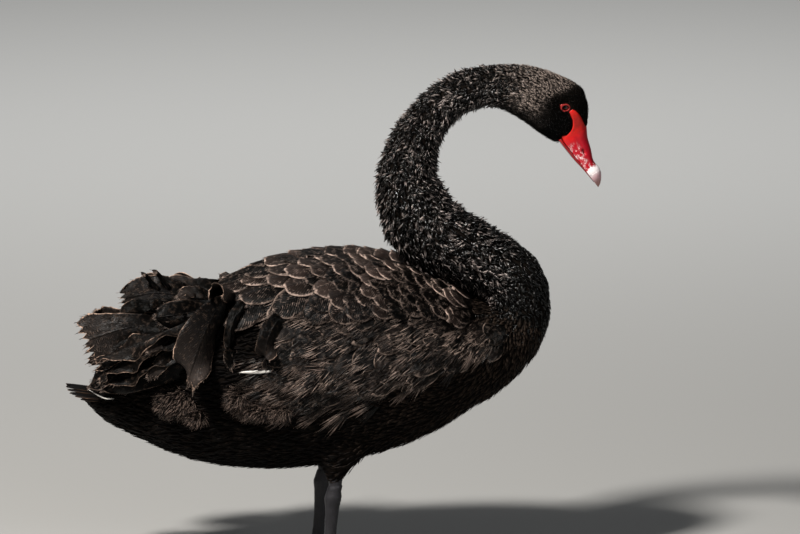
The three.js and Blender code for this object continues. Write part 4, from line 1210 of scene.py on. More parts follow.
# Ruffled inner flight feathers
# The long inner feathers of each wing stand up in loose curls over the tail. Each is one broad vane
# on a curved shaft, twisted, waved at its edges and frayed at its end. A tilt of 0 shows its face to
# the sky and one of 90 shows it to the side.
RUFFLES = (  # stations of x, distance out, z, width and tilt, then ruffle, waves, flare, roll and tone
    (((-114, 6, 314, 16, 20), (-141, 8, 324, 30, 25), (-167, 10, 326, 37, 35), (-190, 12, 322, 30, 50),
      (-206, 12, 315, 16, 60)), 5, 1.3, 0, 0, 0.15),
    (((-121, 22, 310, 16, 30), (-153, 22, 317, 30, 40), (-185, 24, 317, 37, 50), (-215, 24, 312, 32, 60),
      (-233, 24, 305, 16, 65)), 6, 1.6, 0, 0, 0.1),
    (((-114, 24, 324, 14, 60), (-143, 26, 333, 30, 62), (-159, 26, 329, 23, 66), (-176, 28, 335, 38, 68),
      (-187, 28, 329, 26, 72), (-197, 28, 327, 14, 74)), 3, 1.5, 0, 0, 0.7),
    (((-139, 34, 319, 14, 66), (-167, 34, 323, 30, 70), (-191, 34, 328, 44, 72), (-210, 36, 327, 48, 74),
      (-227, 36, 323, 41, 76), (-241, 34, 319, 25, 78)), 5, 1.6, 0.4, 0, 0.35),
    (((-112, 50, 333, 36, 6), (-119, 66, 339, 46, 6), (-124, 84, 346, 50, 6), (-128, 98, 350, 50, 6)), 1.5,
      1, 1.0, 2.3, 0.9),
    (((-135, 62, 327, 9, 40), (-151, 66, 336, 16, 60), (-164, 68, 334, 16, 75), (-174, 68, 328, 10, 80)),
      4, 2.2, 0, 0.6, 0.9),
    (((-137, 60, 320, 9, 40), (-153, 66, 327, 14, 60), (-164, 68, 325, 14, 75), (-176, 68, 319, 10, 80)),
      4, 2.2, 0, 0.8, 0.7),
    (((-123, 66, 320, 14, 60), (-144, 74, 314, 28, 72), (-167, 80, 311, 36, 80), (-185, 82, 309, 34, 86),
      (-199, 80, 307, 21, 90)), 2, 0.8, 0, 0.6, 0),
    (((-206, 52, 317, 12, 60), (-221, 54, 315, 21, 72), (-232, 54, 308, 23, 80), (-240, 52, 296, 14, 84)),
      3, 1, 0, 0.5, 0.3),
    (((-171, 54, 297, 16, 50), (-208, 60, 295, 25, 64), (-238, 62, 291, 39, 74), (-261, 62, 283, 57, 80),
      (-283, 60, 275, 69, 84)), 6, 1.3, 0.8, 0, 0.5),
    (((-178, 58, 283, 14, 50), (-210, 64, 280, 25, 66), (-238, 64, 272, 34, 74), (-261, 62, 262, 39, 80),
      (-277, 58, 253, 41, 84)), 6, 1.8, 0.7, 0, 0.3),
    (((-121, 74, 321, 14, 12), (-151, 82, 306, 25, 14), (-183, 86, 294, 32, 20), (-217, 84, 279, 32, 26),
      (-247, 78, 265, 28, 30), (-269, 72, 255, 14, 34)), 7, 2.4, 0, 0, 0.35),
    (((-132, 84, 307, 14, 12), (-164, 88, 289, 28, 14), (-197, 88, 275, 32, 22), (-227, 82, 261, 30, 28),
      (-250, 76, 246, 25, 34), (-264, 68, 230, 14, 40)), 7, 2.6, 0, 0, 0.25),
    (((-144, 86, 286, 14, 14), (-176, 88, 268, 28, 18), (-208, 84, 253, 30, 26), (-236, 78, 240, 28, 34),
      (-256, 70, 227, 16, 40)), 6, 2.2, 0, 0, 0.1),
    (((-155, 58, 288, 18, 60), (-197, 64, 266, 39, 72), (-231, 62, 247, 41, 78), (-259, 58, 232, 34, 80),
      (-277, 50, 221, 18, 82)), 5, 1.8, 0, 0, 0.05),
    (((-139, 76, 275, 18, 64), (-176, 80, 254, 39, 76), (-210, 76, 240, 34, 80), (-240, 70, 227, 25, 82),
      (-261, 62, 219, 14, 84)), 4, 1.8, 0, 0, 0),
    (((-181, 90, 288, 5, 70), (-190, 94, 283, 14, 74), (-199, 95, 277, 20, 78), (-208, 95, 271, 16, 80)),
      2, 2, 0.5, 0, 1),
    (((-174, 92, 273, 9, 70), (-187, 95, 262, 18, 74), (-198, 95, 250, 17, 80), (-206, 94, 239, 9, 84)), 2,
      1.6, 0, 0, 0.7),
    (((-120, 80, 330, 12, 66), (-126, 90, 322, 26, 70), (-138, 102, 304, 50, 76), (-147, 112, 281, 66, 84),
      (-156, 117, 257, 50, 90), (-159, 114, 243, 34, 94), (-161, 110, 231, 22, 96)), 4, 1.2, 0.7, 0.6, 0.95),
    (((-98, 84, 326, 10, 70), (-108, 94, 312, 16, 78), (-113, 97, 294, 18, 86), (-114, 98, 270, 16, 90),
      (-112, 97, 250, 10, 92)), 3, 1, 0, 0.8, 0),
    (((-93, 70, 325, 14, 70), (-118, 80, 299, 34, 82), (-130, 84, 267, 41, 88), (-135, 82, 236, 34, 92)),
      3, 1, 0, 0.6, 0),
    (((-56, 100, 312, 14, 76), (-67, 108, 298, 26, 82), (-72, 112, 281, 28, 86), (-73, 112, 265, 24, 88),
      (-72, 110, 254, 12, 90)), 2, 0.8, 0, 0.3, 0.6),
    (((-184, 34, 332, 6, 85), (-192, 35, 343, 6, 85), (-197, 37, 351, 6, 70), (-202, 40, 356, 6, 30),
      (-200, 44, 353, 5, 10)), 0.5, 1, 0, 0.9, 0.2),
    (((-196, 34, 330, 6, 85), (-206, 35, 341, 6, 85), (-210, 37, 348, 6, 70), (-215, 40, 353, 6, 30),
      (-213, 44, 350, 5, 10)), 0.5, 1, 0, 0.9, 0.1),
)
RIGHT_ONLY = 2  # of them, small curls on top
RUFFLE_PATCH = 0.03
LEFT_LOWER = 0.22  # of the distance out, so that the left ones don't stand above the right ones
LEFT_AHEAD = 4
LEAST_ROLL = 0.45
LINE_POINTS = 61
LINE_PASSES = 50


def smooth_line(rows, count, passes):
    """Points at even shares of a row of stations, smoothed, with the ends kept."""
    rows = np.array(rows, float)
    share = np.linspace(0, len(rows) - 1, count)
    line = np.array([np.interp(share, np.arange(len(rows)), column) for column in rows.T]).T
    for _ in range(passes):
        line[1:-1] = (line[:-2] + line[1:-1] * 2 + line[2:]) / 4
    return line


def ruffled_vane(side, shape, rings, columns):
    """The grid of one ruffled feather, and its root's place on the unwrapped skin."""
    stations, ruffle, waves, flare, roll, _ = shape
    line = smooth_line(stations, LINE_POINTS, LINE_PASSES)
    share = tipward(rings)
    even = np.linspace(0, 1, LINE_POINTS)
    x, out, z, width, tilt = [np.interp(share, even, column) for column in line.T]
    if side > 0:
        x, z = x + LEFT_AHEAD, z - LEFT_LOWER * out
    centre = np.stack([x, side * out, z], 1)
    heading = np.gradient(centre, axis=0)
    heading /= np.linalg.norm(heading, axis=1)[:, None]
    up = np.array([0, 0, 1.0]) - heading * heading[:, 2:]
    up /= np.linalg.norm(up, axis=1)[:, None]
    outward = np.cross(up, heading)
    outward *= np.sign(outward[:, 1] * side)[:, None]
    tilt = np.radians(tilt)[:, None]
    face = up * np.cos(tilt) + outward * np.sin(tilt)
    across_way = np.cross(face, heading)
    edge = np.linspace(-1, 1, columns)[None, :]
    at = share[:, None]
    tip_round = vane_width(share, 1.0, 0.75, 0.3 if flare == 0 else 0.8)[:, None]
    phase = rng.uniform(-0.5, 0.5)
    wave = np.sin(2 * math.pi * waves * at + edge * 1.4 + phase) * np.abs(edge) ** 1.5
    fine = 0.3 * np.sin(2 * math.pi * waves * 2.7 * at - edge * 2 + 3 * phase) * np.abs(edge) ** 3
    relief = ruffle * (wave + fine) * np.minimum(1, 2.5 * at) * tip_round
    roll = max(roll, LEAST_ROLL)
    radius = width[:, None] * tip_round / 2 / roll
    relief = relief + 0.35 * np.maximum(0, 1 - np.abs(edge) * 6) - radius * (1 - np.cos(edge * roll))
    length = np.linalg.norm(np.diff(centre, axis=0), axis=1).sum()
    fray = rng.uniform(-1, 0.3, (1, columns)) * (0.03 + 0.12 * flare) * at**6 * length
    nick = 1 + rng.uniform(-1, 0.2, (rings, columns)) * (0.05 + 0.08 * flare) * at**2 * np.abs(edge)
    grid = centre[:, None] + across_way[:, None] * (radius * np.sin(edge * roll) * nick)[..., None]
    grid = grid + face[:, None] * relief[..., None] + heading[:, None] * fray[..., None]
    return grid * MM, body_unwrap(x[0] * MM, side * 50)


ruffle_material = plumage(
    "ruffled_plumage", DEEP_BLACK, (0.031, 0.0245, 0.0217), (0.7, 0.48, 0.365), fringe_width=0.05,
    barbs=190.0, roughness=0.34, bump=0.8, specular=0.06, barb_highlights=0.1, root_shade=0.1, variety=1.6, patches=0.25,
)
for side, side_name in SIDES:
    shapes = RUFFLES if side < 0 else RUFFLES[:-RIGHT_ONLY]
    made = [ruffled_vane(side, shape, rings=30, columns=15) for shape in shapes]
    grid = np.array([one for one, _ in made])
    unwraps = [
        (u + RUFFLE_PATCH * (k % 4), v + RUFFLE_PATCH * (k // 4)) for k, (_, (u, v)) in enumerate(made)
    ]
    tones = [0.15 + 0.85 * shape[-1] for shape in shapes]
    plates(
        f"ruffled_feathers_{side_name}", grid, unwraps, RUFFLE_PATCH, ruffle_material,
        "ruffled_flight_feathers", thick=(0.6, 0.2), replaces=(f"flight_{side_name}",), shade=tones,
    )
    barb_fringe(
        f"ruffle_barbs_{side_name}", grid, unwraps, "ruffled_flight_feathers", (0.25, 0.5),
        at_tip=14, reach=5, per=110, spread=0.4, loose=0.18, on_face=0.1,
    )

# White flight feathers
# The outer flight feathers are white. Folded, they lie along the flank under the ruffled ones, and
# only a sliver shows.
white_material = plumage(
    "white_plumage", (0.5, 0.48, 0.45), (0.75, 0.73, 0.7), (0.8, 0.78, 0.75), fringe_width=0.1, barbs=90.0,
    roughness=0.5, bump=0.2, specular=0.4,
)
WHITE_SLIVER = {"long": 52 * MM, "wide": 4 * MM}
WHITE_TIP = (  # as the ruffled feathers
    ((-248, 44, 206, 1, 60), (-257, 48, 206, 1.6, 66), (-266, 48, 210, 1.5, 70), (-278, 44, 217, 1, 70)),
    0.4, 1, 0, 0, 0.5,
)
for side, side_name in SIDES:
    white_tip, tip_unwrap = ruffled_vane(side, WHITE_TIP, rings=12, columns=5)
    plates(
        f"white_tip_{side_name}", white_tip[None], [tip_unwrap], VANE_PATCH, white_material,
        "white_flight_feathers",
    )
    whites = wing_roots(side, [-50, -56], lambda x: (88.5, 90, 6), lambda x, turn: 1)
    count = len(whites.place)
    long, wide = np.full(count, WHITE_SLIVER["long"]), np.full(count, WHITE_SLIVER["wide"])
    laid = skin_vanes(whites, long, wide, rng.normal(0, 1, count), rings=12, columns=5, ragged=0.2)
    grid = lifted(*laid, root=2.0, tip=7.0, cup=0.6, lean=0.0, tilt=0.3)
    plates(
        f"white_feathers_{side_name}", grid, whites.unwrap, VANE_PATCH, white_material,
        "white_flight_feathers", replaces=(f"primaries_{side_name}",),
    )

# Down of the rump
# Loose downy tufts come out between the wing, the flank and the tail, of curled strands that the
# light catches.
DOWN = (  # x, z, half length, half height and thickness of each tuft, and its number of strands
    (-175, 207, 29, 21, 13, 1000),
    (-153, 191, 12, 10, 10, 300),
    (-106, 215, 15, 15, 13, 500),
    (-84, 201, 24, 11, 11, 560),
    (-57, 199, 15, 10, 10, 320),
)
DOWN_LIE = Vector((-0.7, 0, -0.75))
DOWN_LENGTH = (6, 12)
down_material = plumage(
    "rump_down", BLACK, (0.15, 0.108, 0.089), (0.36, 0.265, 0.215), fringe_width=0.4, barbs=8.0,
    roughness=0.45, bump=0.1, specular=0.1, root_shade=0.2, variety=2.0,
)
for side, side_name in SIDES:
    paths, normals, ways, unwrap = [], [], [], []
    at = np.linspace(0, 1, len(STRAND))[:, None]
    for x, z, long, tall, thick, count in DOWN:
        hit = skin_tree.ray_cast(Vector((x * MM, side * 0.3, z * MM)), Vector((0, -side, 0)))[0]
        for _ in range(count):
            out = Vector(rng.normal(0, 1, 3)).normalized()
            out.y = abs(out.y) * side
            root = Vector((out.x * long, out.y * thick, out.z * tall)) * 0.72 * MM
            normal = Vector((out.x / long, out.y / thick, out.z / tall)).normalized()
            way = DOWN_LIE + Vector(rng.normal(0, 0.32, 3))
            way = (way - normal * way.dot(normal)).normalized()
            reach = rng.uniform(*DOWN_LENGTH) * MM
            curl = 0.75 * at * np.array(normal) + 0.9 * at**1.6 * np.array(way)
            paths.append(np.array(hit + root) + reach * curl)
            normals.append([normal] * len(at))
            ways.append([way] * len(at))
            unwrap.append(body_unwrap(x * MM + root.x, side * 105 + 1000 * root.z))
    paths = np.array(paths)
    blade_mesh(
        f"rump_down_{side_name}", paths, np.array(normals), np.array(ways), unwrap,
        rng.uniform(0.6, 1.4, len(paths)) * MM, STRAND, down_material,
    )

# Tail
# A short fan of stiff feathers on top of the soft feathers under the tail, each lower than the next
# one inwards.
TAIL_FAN = {
    "count": 14, "spread": 3.4, "root": 21, "x": -252, "z": 208, "rise": 9, "length": 58, "width": 17,
}
TAIL_PATCH = 0.016
tail_material = plumage(
    "tail_plumage", (0.0008, 0.0006, 0.0005), (0.018, 0.013, 0.011), (0.2, 0.12, 0.078), fringe_width=0.04,
    barbs=150.0, roughness=0.5, bump=0.3, specular=0.05,
)


def tail_vane(k, rings, columns):
    """The grid of one tail feather, k places from the middle."""
    fan, middle = TAIL_FAN, (TAIL_FAN["count"] - 1) / 2
    heading = math.radians(fan["spread"] * k)
    pitch = math.radians(fan["rise"] + rng.uniform(-1.5, 1.5))
    level = math.cos(pitch)
    way = np.array([-math.cos(heading) * level, math.sin(heading) * level, math.sin(pitch)])
    start = np.array([fan["x"], k * fan["root"] / middle, fan["z"] - 1.3 * abs(k) - 0.5 * (k > 0)])
    side_way = np.cross([0, 0, 1.0], way)
    at = tipward(rings)[:, None]
    edge = np.linspace(-1, 1, columns)[None, :]
    length = fan["length"] * rng.uniform(0.94, 1.0) * (1 - 0.3 * (abs(k) / middle) ** 2)
    fray = rng.uniform(-1, 0.2, (1, columns)) * 0.04 * at**5
    along = length * (at + fray)
    out = fan["width"] * vane_width(at, end=0.1) * edge / 2
    bend = -1.4 * edge**2 - 1.5 * at**2
    grid = start + along[..., None] * way + out[..., None] * side_way
    return (grid + bend[..., None] * np.array([0, 0, 1.0])) * MM


middle = (TAIL_FAN["count"] - 1) / 2
tail_places = np.linspace(-middle, middle, TAIL_FAN["count"])
grid = np.array([tail_vane(k, rings=12, columns=7) for k in tail_places])
tail_unwrap = [(0.03, 0.5 + 0.02 * k) for k in tail_places]
plates("tail_feathers", grid, tail_unwrap, TAIL_PATCH, tail_material, "tail_feathers")

# Bill
# A scarlet horny bill in two halves, tall at its base and flattened towards the tip, with a slit of a
# nostril on each side, a lip along its cutting edge, a white bar and a pinkish nail at the end.
BILL = (  # distance from the base along the bill, ridge, cutting edge, chin and half width
    (-14, 21.5, -15, -19, 13.8),
    (-8, 20.6, -14.4, -18.6, 14.5),
    (-3, 19.5, -13.9, -18.2, 15),
    (1, 17.8, -13.7, -17.9, 15.4),
    (6, 15.4, -13, -17.2, 15.3),
    (12.5, 12.3, -11.8, -16.3, 14.6),
    (26.7, 8.9, -10.2, -14, 13.6),
    (38, 4.9, -8, -11.2, 13.2),
    (43.5, 5, -7.4, -10, 13.3),
    (49, 7, -6.9, -8.8, 13),
    (56.7, 5.6, -6.1, -7.6, 11),
    (64.6, 0.4, -5.6, -6.7, 6.5),
    (68.2, -4.2, -5.3, -5.9, 1.6),
)
NAIL_START = 50.5
WHITE_BAR = (42.4, 50.8)
LOWER_END = 61
NOSTRIL = {"along": 23.5, "across": 1.2, "long": 4.4, "tall": 1.5, "deep": 3.2}
BILL_SIDES = 96
BILL_END = 68.2
UPPER_START, UPPER_RINGS = -12, 124
LOWER_START, LOWER_RINGS = -3, 48
NAIL_GAP, NAIL_RINGS = 0.15, 26

bill_table = np.array(BILL, float)


def bill_at(along):
    """Ridge, edge, chin and half width at a distance along the bill, smoothed between the rows."""
    near = along + np.linspace(-3, 3, 9) * min(1, (BILL_END - along) / 6 + 0.02)
    return [np.mean(np.interp(near, bill_table[:, 0], bill_table[:, k])) for k in range(1, 5)]


def bill_ring(bm, along, high, level, low, half, squareness=0.86, below=None):
    """One ring across the bill's line."""
    return ring_of(
        bm, BILL_BASE + BILL_WAY * along * MM + BILL_UP * level * MM, LEFTWARD, BILL_UP,
        half * MM, (high - level) * MM, (level - low) * MM, BILL_SIDES, squareness, below,
    )


def bill_places(points):
    """Along and across the bill, and out to the side, in millimetres, for points of it."""
    away = (points - np.array(BILL_BASE)) / MM
    return away @ np.array(BILL_WAY), away @ np.array(BILL_UP), points[:, 1] / MM


def shape_bill(mesh):
    """Sinks the nostrils and a groove along each flank, rolls the lip along the edge and adds small pits."""
    points, normals = points_of(mesh), normals_of(mesh)
    along, across, side = bill_places(points)
    edge = np.array([bill_at(min(a, BILL_END - 0.2))[1] for a in along])
    above = across - NOSTRIL["across"]
    reach = np.hypot((along - NOSTRIL["along"]) / NOSTRIL["long"], above / NOSTRIL["tall"])
    flank = np.abs(side) > 4
    pit = -NOSTRIL["deep"] * ease(1.1, 0.4, reach) + 0.2 * np.exp(-((reach - 1.4) / 0.35) ** 2)
    groove = -0.5 * np.exp(-((above + 0.06 * (along - 23)) / 1.6) ** 2) * ease(42, 30, along)
    lip = 0.55 * np.exp(-((across - edge - 1.0) / 0.9) ** 2)
    lip = lip - 0.45 * np.exp(-((across - edge - 3.0) / 1.0) ** 2)
    lip = lip * ease(60, 48, along) * ease(-2, 6, along)
    pits = 0.05 * np.sin(along * 5.1) * np.sin(across * 4.7 + side)
    move = flank * (pit + groove * ease(2, 8, along)) + lip + pits * ease(2, 8, along)
    move_points(mesh, points + normals * (move * MM)[:, None])


def bill_mesh(name, places, ring):
    """A skinned row of rings as a mesh."""
    bm = bmesh.new()
    bridge_rings(bm, [ring(bm, along) for along in places])
    return mesh_of(bm, name)


def upper_ring(bm, along):
    """A ring of the upper half."""
    ridge, edge, _, half = bill_at(along)
    level = edge + 0.25 * (ridge - edge) * ease(50, 0, along)
    return bill_ring(bm, along, ridge, level, edge - 0.4, half, below=0.45)


def lower_ring(bm, along):
    """A ring of the lower half."""
    _, edge, chin, half = bill_at(along)
    top = edge - 0.4
    wide = (half - 0.5) * min(1, (LOWER_END + 2 - along) / 8)
    return bill_ring(bm, along, top, top - 0.3, min(chin, top - 1), max(wide, 1.5), 0.8)


def dot_node(tree, vector, way):
    """The output of a Vector Math node: how far a place lies along a way, in millimetres."""
    inputs = {0: vector, 1: way / MM}
    return new_node(tree, "ShaderNodeVectorMath", inputs, operation="DOT_PRODUCT").outputs["Value"]


GLINT_PALE = (0.95, 0.82, 0.82, 1)
BAR_WHITE = (0.85, 0.78, 0.78, 1)
NAIL_PINK = (0.58, 0.36, 0.38, 1)
NAIL_TIP = (0.3, 0.13, 0.11, 1)
BLOTCH_DARK = (0.25, 0.0, 0.004, 1)
bill_group = new_group("bill_skin", {
    "Root Color": (0.55, 0.02, 0.006, 1), "Tip Color": (0.45, 0.004, 0.012, 1), "Bar": 1.0,
})


def build_bill_group(tree):
    """Red skin and horn along the bill: the root's colour, the tip's, painted glints, a white bar and the
    nail.
    """
    calc, sway, blend, span, noise = node_steps(tree)
    given = new_node(tree, "NodeGroupInput").outputs
    place = place_node(tree)
    from_base = new_node(tree, "ShaderNodeMapping", {"Vector": place, "Location": -BILL_BASE}).outputs[0]
    along, across = dot_node(tree, from_base, BILL_WAY), dot_node(tree, from_base, BILL_UP)
    blotch = noise(place, 240.0, 3.0)
    grain = noise(place, 1250.0, 2.0)
    wavy = sway(blotch, 6.0, along)
    broken = sway(grain, 7.0, sway(blotch, 8.0, wavy))
    colour = blend(span(wavy, -8.0, 14.0), given["Root Color"], given["Tip Color"])
    colour = blend(span(blotch, 0.35, 0.7, 0.0, 0.35), colour, BLOTCH_DARK)
    # Pale pink specks over the lower part of the bill's flank: painted glints of light on the horn.
    painted_glints = calc("MULTIPLY", span(grain, 0.52, 0.58), span(blotch, 0.42, 0.55))
    painted_glints = calc("MULTIPLY", painted_glints, span(across, 2.0, -3.0))
    painted_glints = calc("MULTIPLY", painted_glints, span(wavy, 6.0, 16.0, 0.0, given["Bar"]))
    colour = blend(painted_glints, colour, GLINT_PALE)
    for value, start, end, tint in (
        (broken, WHITE_BAR[0] - 0.5, WHITE_BAR[0] + 0.5, BAR_WHITE),
        (wavy, WHITE_BAR[1] - 1.5, WHITE_BAR[1] + 5.0, NAIL_PINK),
        (wavy, WHITE_BAR[1] + 4.0, WHITE_BAR[1] + 15.0, NAIL_TIP),
    ):
        colour = blend(span(value, start, end, 0.0, given["Bar"]), colour, tint)
    dull = calc("MULTIPLY_ADD", blotch, 0.25, 0.2)
    height = calc("MULTIPLY_ADD", grain, 0.5, blotch)
    new_node(tree, "NodeGroupOutput", {"Color": colour, "Roughness": dull, "Height": height})


build_bill_group(bill_group)


def bill_finish(name, root, tip, bar, coat, coat_roughness, bump, distance):
    """A material of bare red skin or horn."""
    values = {"Root Color": (*root, 1), "Tip Color": (*tip, 1), "Bar": bar}
    gloss = {"Coat Weight": coat, "Coat Roughness": coat_roughness, "Specular IOR Level": 0.3}
    return group_material(name, bill_group, values, bump, distance, **gloss)


BILL_RED = (0.5, 0.01, 0.004)
BILL_CRIMSON = (0.38, 0.002, 0.012)
CHIN_RED = (0.3, 0.01, 0.008)
CHIN_CRIMSON = (0.26, 0.012, 0.014)
RED_RELIEF = {"bump": 0.6, "distance": 0.4}
SOFT_RELIEF = {"bump": 0.4, "distance": 0.3}
bill_material = bill_finish("bill_horn", BILL_RED, BILL_CRIMSON, 1.0, 0.15, 0.2, **RED_RELIEF)
chin_material = bill_finish("chin_horn", CHIN_RED, CHIN_CRIMSON, 0.0, 0.1, 0.2, **SOFT_RELIEF)

upper_places = np.linspace(UPPER_START, NAIL_START, UPPER_RINGS)
upper_mesh = bill_mesh("bill_upper_horn", upper_places, upper_ring)
shape_bill(upper_mesh)
new_object("bill_upper_horn", upper_mesh, bill_material, ("bill_upper",))
nail_places = np.linspace(NAIL_START + NAIL_GAP, BILL_END - 0.1, NAIL_RINGS)
nail_mesh = bill_mesh("bill_nail_horn", nail_places, upper_ring)
new_object("bill_nail_horn", nail_mesh, bill_material, ("bill_nail",))
lower_places = np.linspace(LOWER_START, LOWER_END, LOWER_RINGS)
lower_mesh = bill_mesh("bill_lower_horn", lower_places, lower_ring)
new_object("bill_lower_horn", lower_mesh, chin_material, ("bill_lower",))

# Bare skin of the face
# From each eye a strip of thin red skin widens down to the bill. It is a little raised, pebbled and
# drawn tight over the skull, and the feathers stop at its edge.
LORE_REAR = (  # x, z of its rear edge, from the eye down
    (272.0, 534.8), (273.6, 531.2), (276.9, 523.4), (276.3, 513.7), (272.1, 508.3), (263.5, 501.2),
    (267.6, 495.4),
)
LORE_FRONT = (
    (275.8, 537.0), (279.6, 535.6), (284.4, 530.6), (288.0, 523.6), (290.6, 517.6), (291.9, 513.0),
    (292.4, 508.6),
)
LORE_RISE = 1.6
LORE_ROWS = 42
LORE_COLUMNS = 21

upper_tree = search_tree(upper_mesh)


def on_flank(x, z, side):
    """The place of skin or bill that is seen at x and z from one side."""
    start, inwards = Vector((x * MM, side * 0.1, z * MM)), Vector((0, -side, 0))
    hits = [tree.ray_cast(start, inwards)[0] for tree in (skin_tree, upper_tree)]
    hits = [hit for hit in hits if hit is not None and hit.y * side > 0]
    if not hits:
        return np.array(skin_tree.find_nearest(Vector((x * MM, side * 8 * MM, z * MM)))[0])
    return np.array(max(hits, key=lambda hit: hit.y * side))


def relax(grid, passes):
    """Moves the inner points of a grid to the middle of their neighbours."""
    for _ in range(passes):
        grid[1:-1, 1:-1] = (grid[:-2, 1:-1] + grid[2:, 1:-1] + grid[1:-1, :-2] + grid[1:-1, 2:]) / 4


def lore_grid(side):
    """The bare skin between its rear and front edges, raised in the middle and let into the head."""
    rear, front = smooth_line(LORE_REAR, LORE_ROWS, 8), smooth_line(LORE_FRONT, LORE_ROWS, 8)
    share = np.linspace(0, 1, LORE_COLUMNS)
    grid = np.empty((LORE_ROWS, LORE_COLUMNS, 3))
    for k in range(LORE_ROWS):
        for c, part in enumerate(share):
            x, z = rear[k] * (1 - part) + front[k] * part
            grid[k, c] = on_flank(x, z, side)
    if side > 0:
        grid = grid[:, ::-1]
    relax(grid, 14)
    rim = np.minimum(1, 5 * np.minimum(share, 1 - share))[None, :] * np.ones((LORE_ROWS, 1))
    down = np.linspace(0, 1, LORE_ROWS)[:, None]
    on_face = np.array([[on_flank(x / MM, z / MM, side) for x, _, z in row] for row in grid])
    low = ease(0.3, 0.6, down)[..., None]
    grid = grid * (1 - low) + on_face * low
    relax(grid, 8)
    top = ease(0, 0.35, down)
    ends = 1 - 0.8 * ease(0.3, 1.0, down)
    pebbles = np.sin(np.arange(LORE_ROWS) * 2.1)[:, None] * np.sin(np.arange(LORE_COLUMNS) * 2.4) * 0.12
    rise = LORE_RISE * ends * np.sqrt(np.minimum(rim, top)) + pebbles * top * ends
    normals = grid_normals(grid[None])[0]
    outward = np.sign((normals * [0, side, 0]).sum(2))[..., None]
    grid = grid + normals * outward * rise[..., None] * MM
    sunk = on_face[..., 1] - side * 0.3 * MM
    under = ease(0.72, 0.96, down)
    grid[..., 1] = grid[..., 1] * (1 - under) + sunk * under
    return grid


lore_material = bill_finish("bare_red_skin", BILL_RED, BILL_CRIMSON, 1.0, 0.15, 0.2, **RED_RELIEF)
for side, side_name in SIDES:
    plates(
        f"bare_skin_{side_name}", lore_grid(side)[None], [(0.5, 0.5)], 0.9, lore_material, "bare_face",
        thick=(1.6, 1.6), replaces=(f"lore_{side_name}",),
    )

# Eyes
# A small dark red eye on each side, wet and round, in a ring of bare red lids that draws out to a
# corner behind.
LID = {"long": 4.7, "tall": 3.9, "thick": 0.95, "corner": 1.7, "corner_turn": 141}
EYE_STANDS_OUT = 1.3  # how far the eyeball comes out of the skin round it
IRIS_DARK = (0.16, 0.012, 0.004, 1)
IRIS_LIGHT = (0.4, 0.04, 0.012, 1)
PUPIL_BLACK = (0.002, 0.002, 0.002, 1)
LIMBUS_DARK = (0.02, 0.004, 0.003, 1)
LID_RED = (0.24, 0.018, 0.016)
LID_PARTS = 56
LID_SIDES = 14
LID_FOLDS = 17
CORNER_SPREAD = 17  # degrees

eye_material, tree, shader = new_material(
    "wet_eye", **{"Coat Weight": 0.5, "Coat Roughness": 0.02, "Specular IOR Level": 0.3}
)
place = place_node(tree)
from_axis = place
for operation, value in (
    ("SUBTRACT", (eye_middle["left"].x, 0, eye_middle["left"].z)),
    ("MULTIPLY", (1 / MM, 0, 1 / MM)),
):
    inputs = {0: from_axis, 1: value}
    from_axis = new_node(tree, "ShaderNodeVectorMath", inputs, operation=operation).outputs[0]
from_axis = new_node(tree, "ShaderNodeVectorMath", {0: from_axis}, operation="LENGTH").outputs["Value"]
rays = noise_node(tree, place, 900.0, 2.0)
iris = blend_node(tree, rays, IRIS_DARK, IRIS_LIGHT)
ball = blend_node(tree, map_node(tree, from_axis, 1.7, 2.0), PUPIL_BLACK, iris)
ball = blend_node(tree, map_node(tree, from_axis, 3.0, 3.6), ball, LIMBUS_DARK)
feed(tree, shader, ball, math_node(tree, "MULTIPLY_ADD", rays, 0.1, 0.05))

lid_material = bill_finish("red_lids", LID_RED, LID_RED, 0.0, 0.05, 0.3, **SOFT_RELIEF)


def eye_mesh(side_name, side):
    """A ball with the bulge of its cornea, set into the head between the lids."""
    middle = eye_middle[side_name]
    surface = on_flank(middle.x / MM, middle.z / MM, side)[1]
    middle = Vector((middle.x, surface + side * (EYE_STANDS_OUT * MM - EYE_RADIUS), middle.z))
    bm = bmesh.new()
    bmesh.ops.create_uvsphere(bm, u_segments=40, v_segments=28, radius=EYE_RADIUS)
    for vert in bm.verts:
        off = math.hypot(vert.co.x, vert.co.z) / EYE_RADIUS
        bulge = 0.5 * MM * math.exp(-((off / 0.5) ** 2)) * (1 if vert.co.y * side > 0 else 0)
        vert.co.y += side * bulge
    bmesh.ops.translate(bm, verts=bm.verts, vec=middle)
    return mesh_of(bm, f"eyeball_{side_name}")


def lid_mesh(side_name, side):
    """A soft ring of small folds round the eye, let into the head."""
    bm = bmesh.new()
    rings = []
    for i in range(LID_PARTS):
        turn = 360 * i / LID_PARTS
        to_corner = (turn - LID["corner_turn"] + 180) % 360 - 180
        drawn = LID["corner"] * math.exp(-((to_corner / CORNER_SPREAD) ** 2)) * 0.5
        bead = 0.16 * math.sin(turn / 360 * 2 * math.pi * LID_FOLDS)
        s, c = turned(turn)
        out = Vector((c, 0, s))
        centre = eye_middle[side_name] + Vector((LID["long"] * c, 0, LID["tall"] * s)) * MM
        centre = centre + out * drawn * MM
        centre.y = on_flank(centre.x / MM, centre.z / MM, side)[1] + side * 0.9 * MM
        wide, tall = (LID["thick"] + bead + drawn) * MM, (1.05 + bead) * MM
        rings.append(ring_of(bm, centre, out, Vector((0, side, 0)), wide, tall, 1.5 * MM, LID_SIDES))
    bridge_rings(bm, rings, closed=True)
    return mesh_of(bm, f"lids_{side_name}")


for side, side_name in SIDES:
    ball, lids = eye_mesh(side_name, side), lid_mesh(side_name, side)
    new_object(f"eyeball_{side_name}", ball, eye_material, (f"eye_{side_name}",))
    new_object(f"lids_{side_name}", lids, lid_material, (f"eye_rim_{side_name}",))

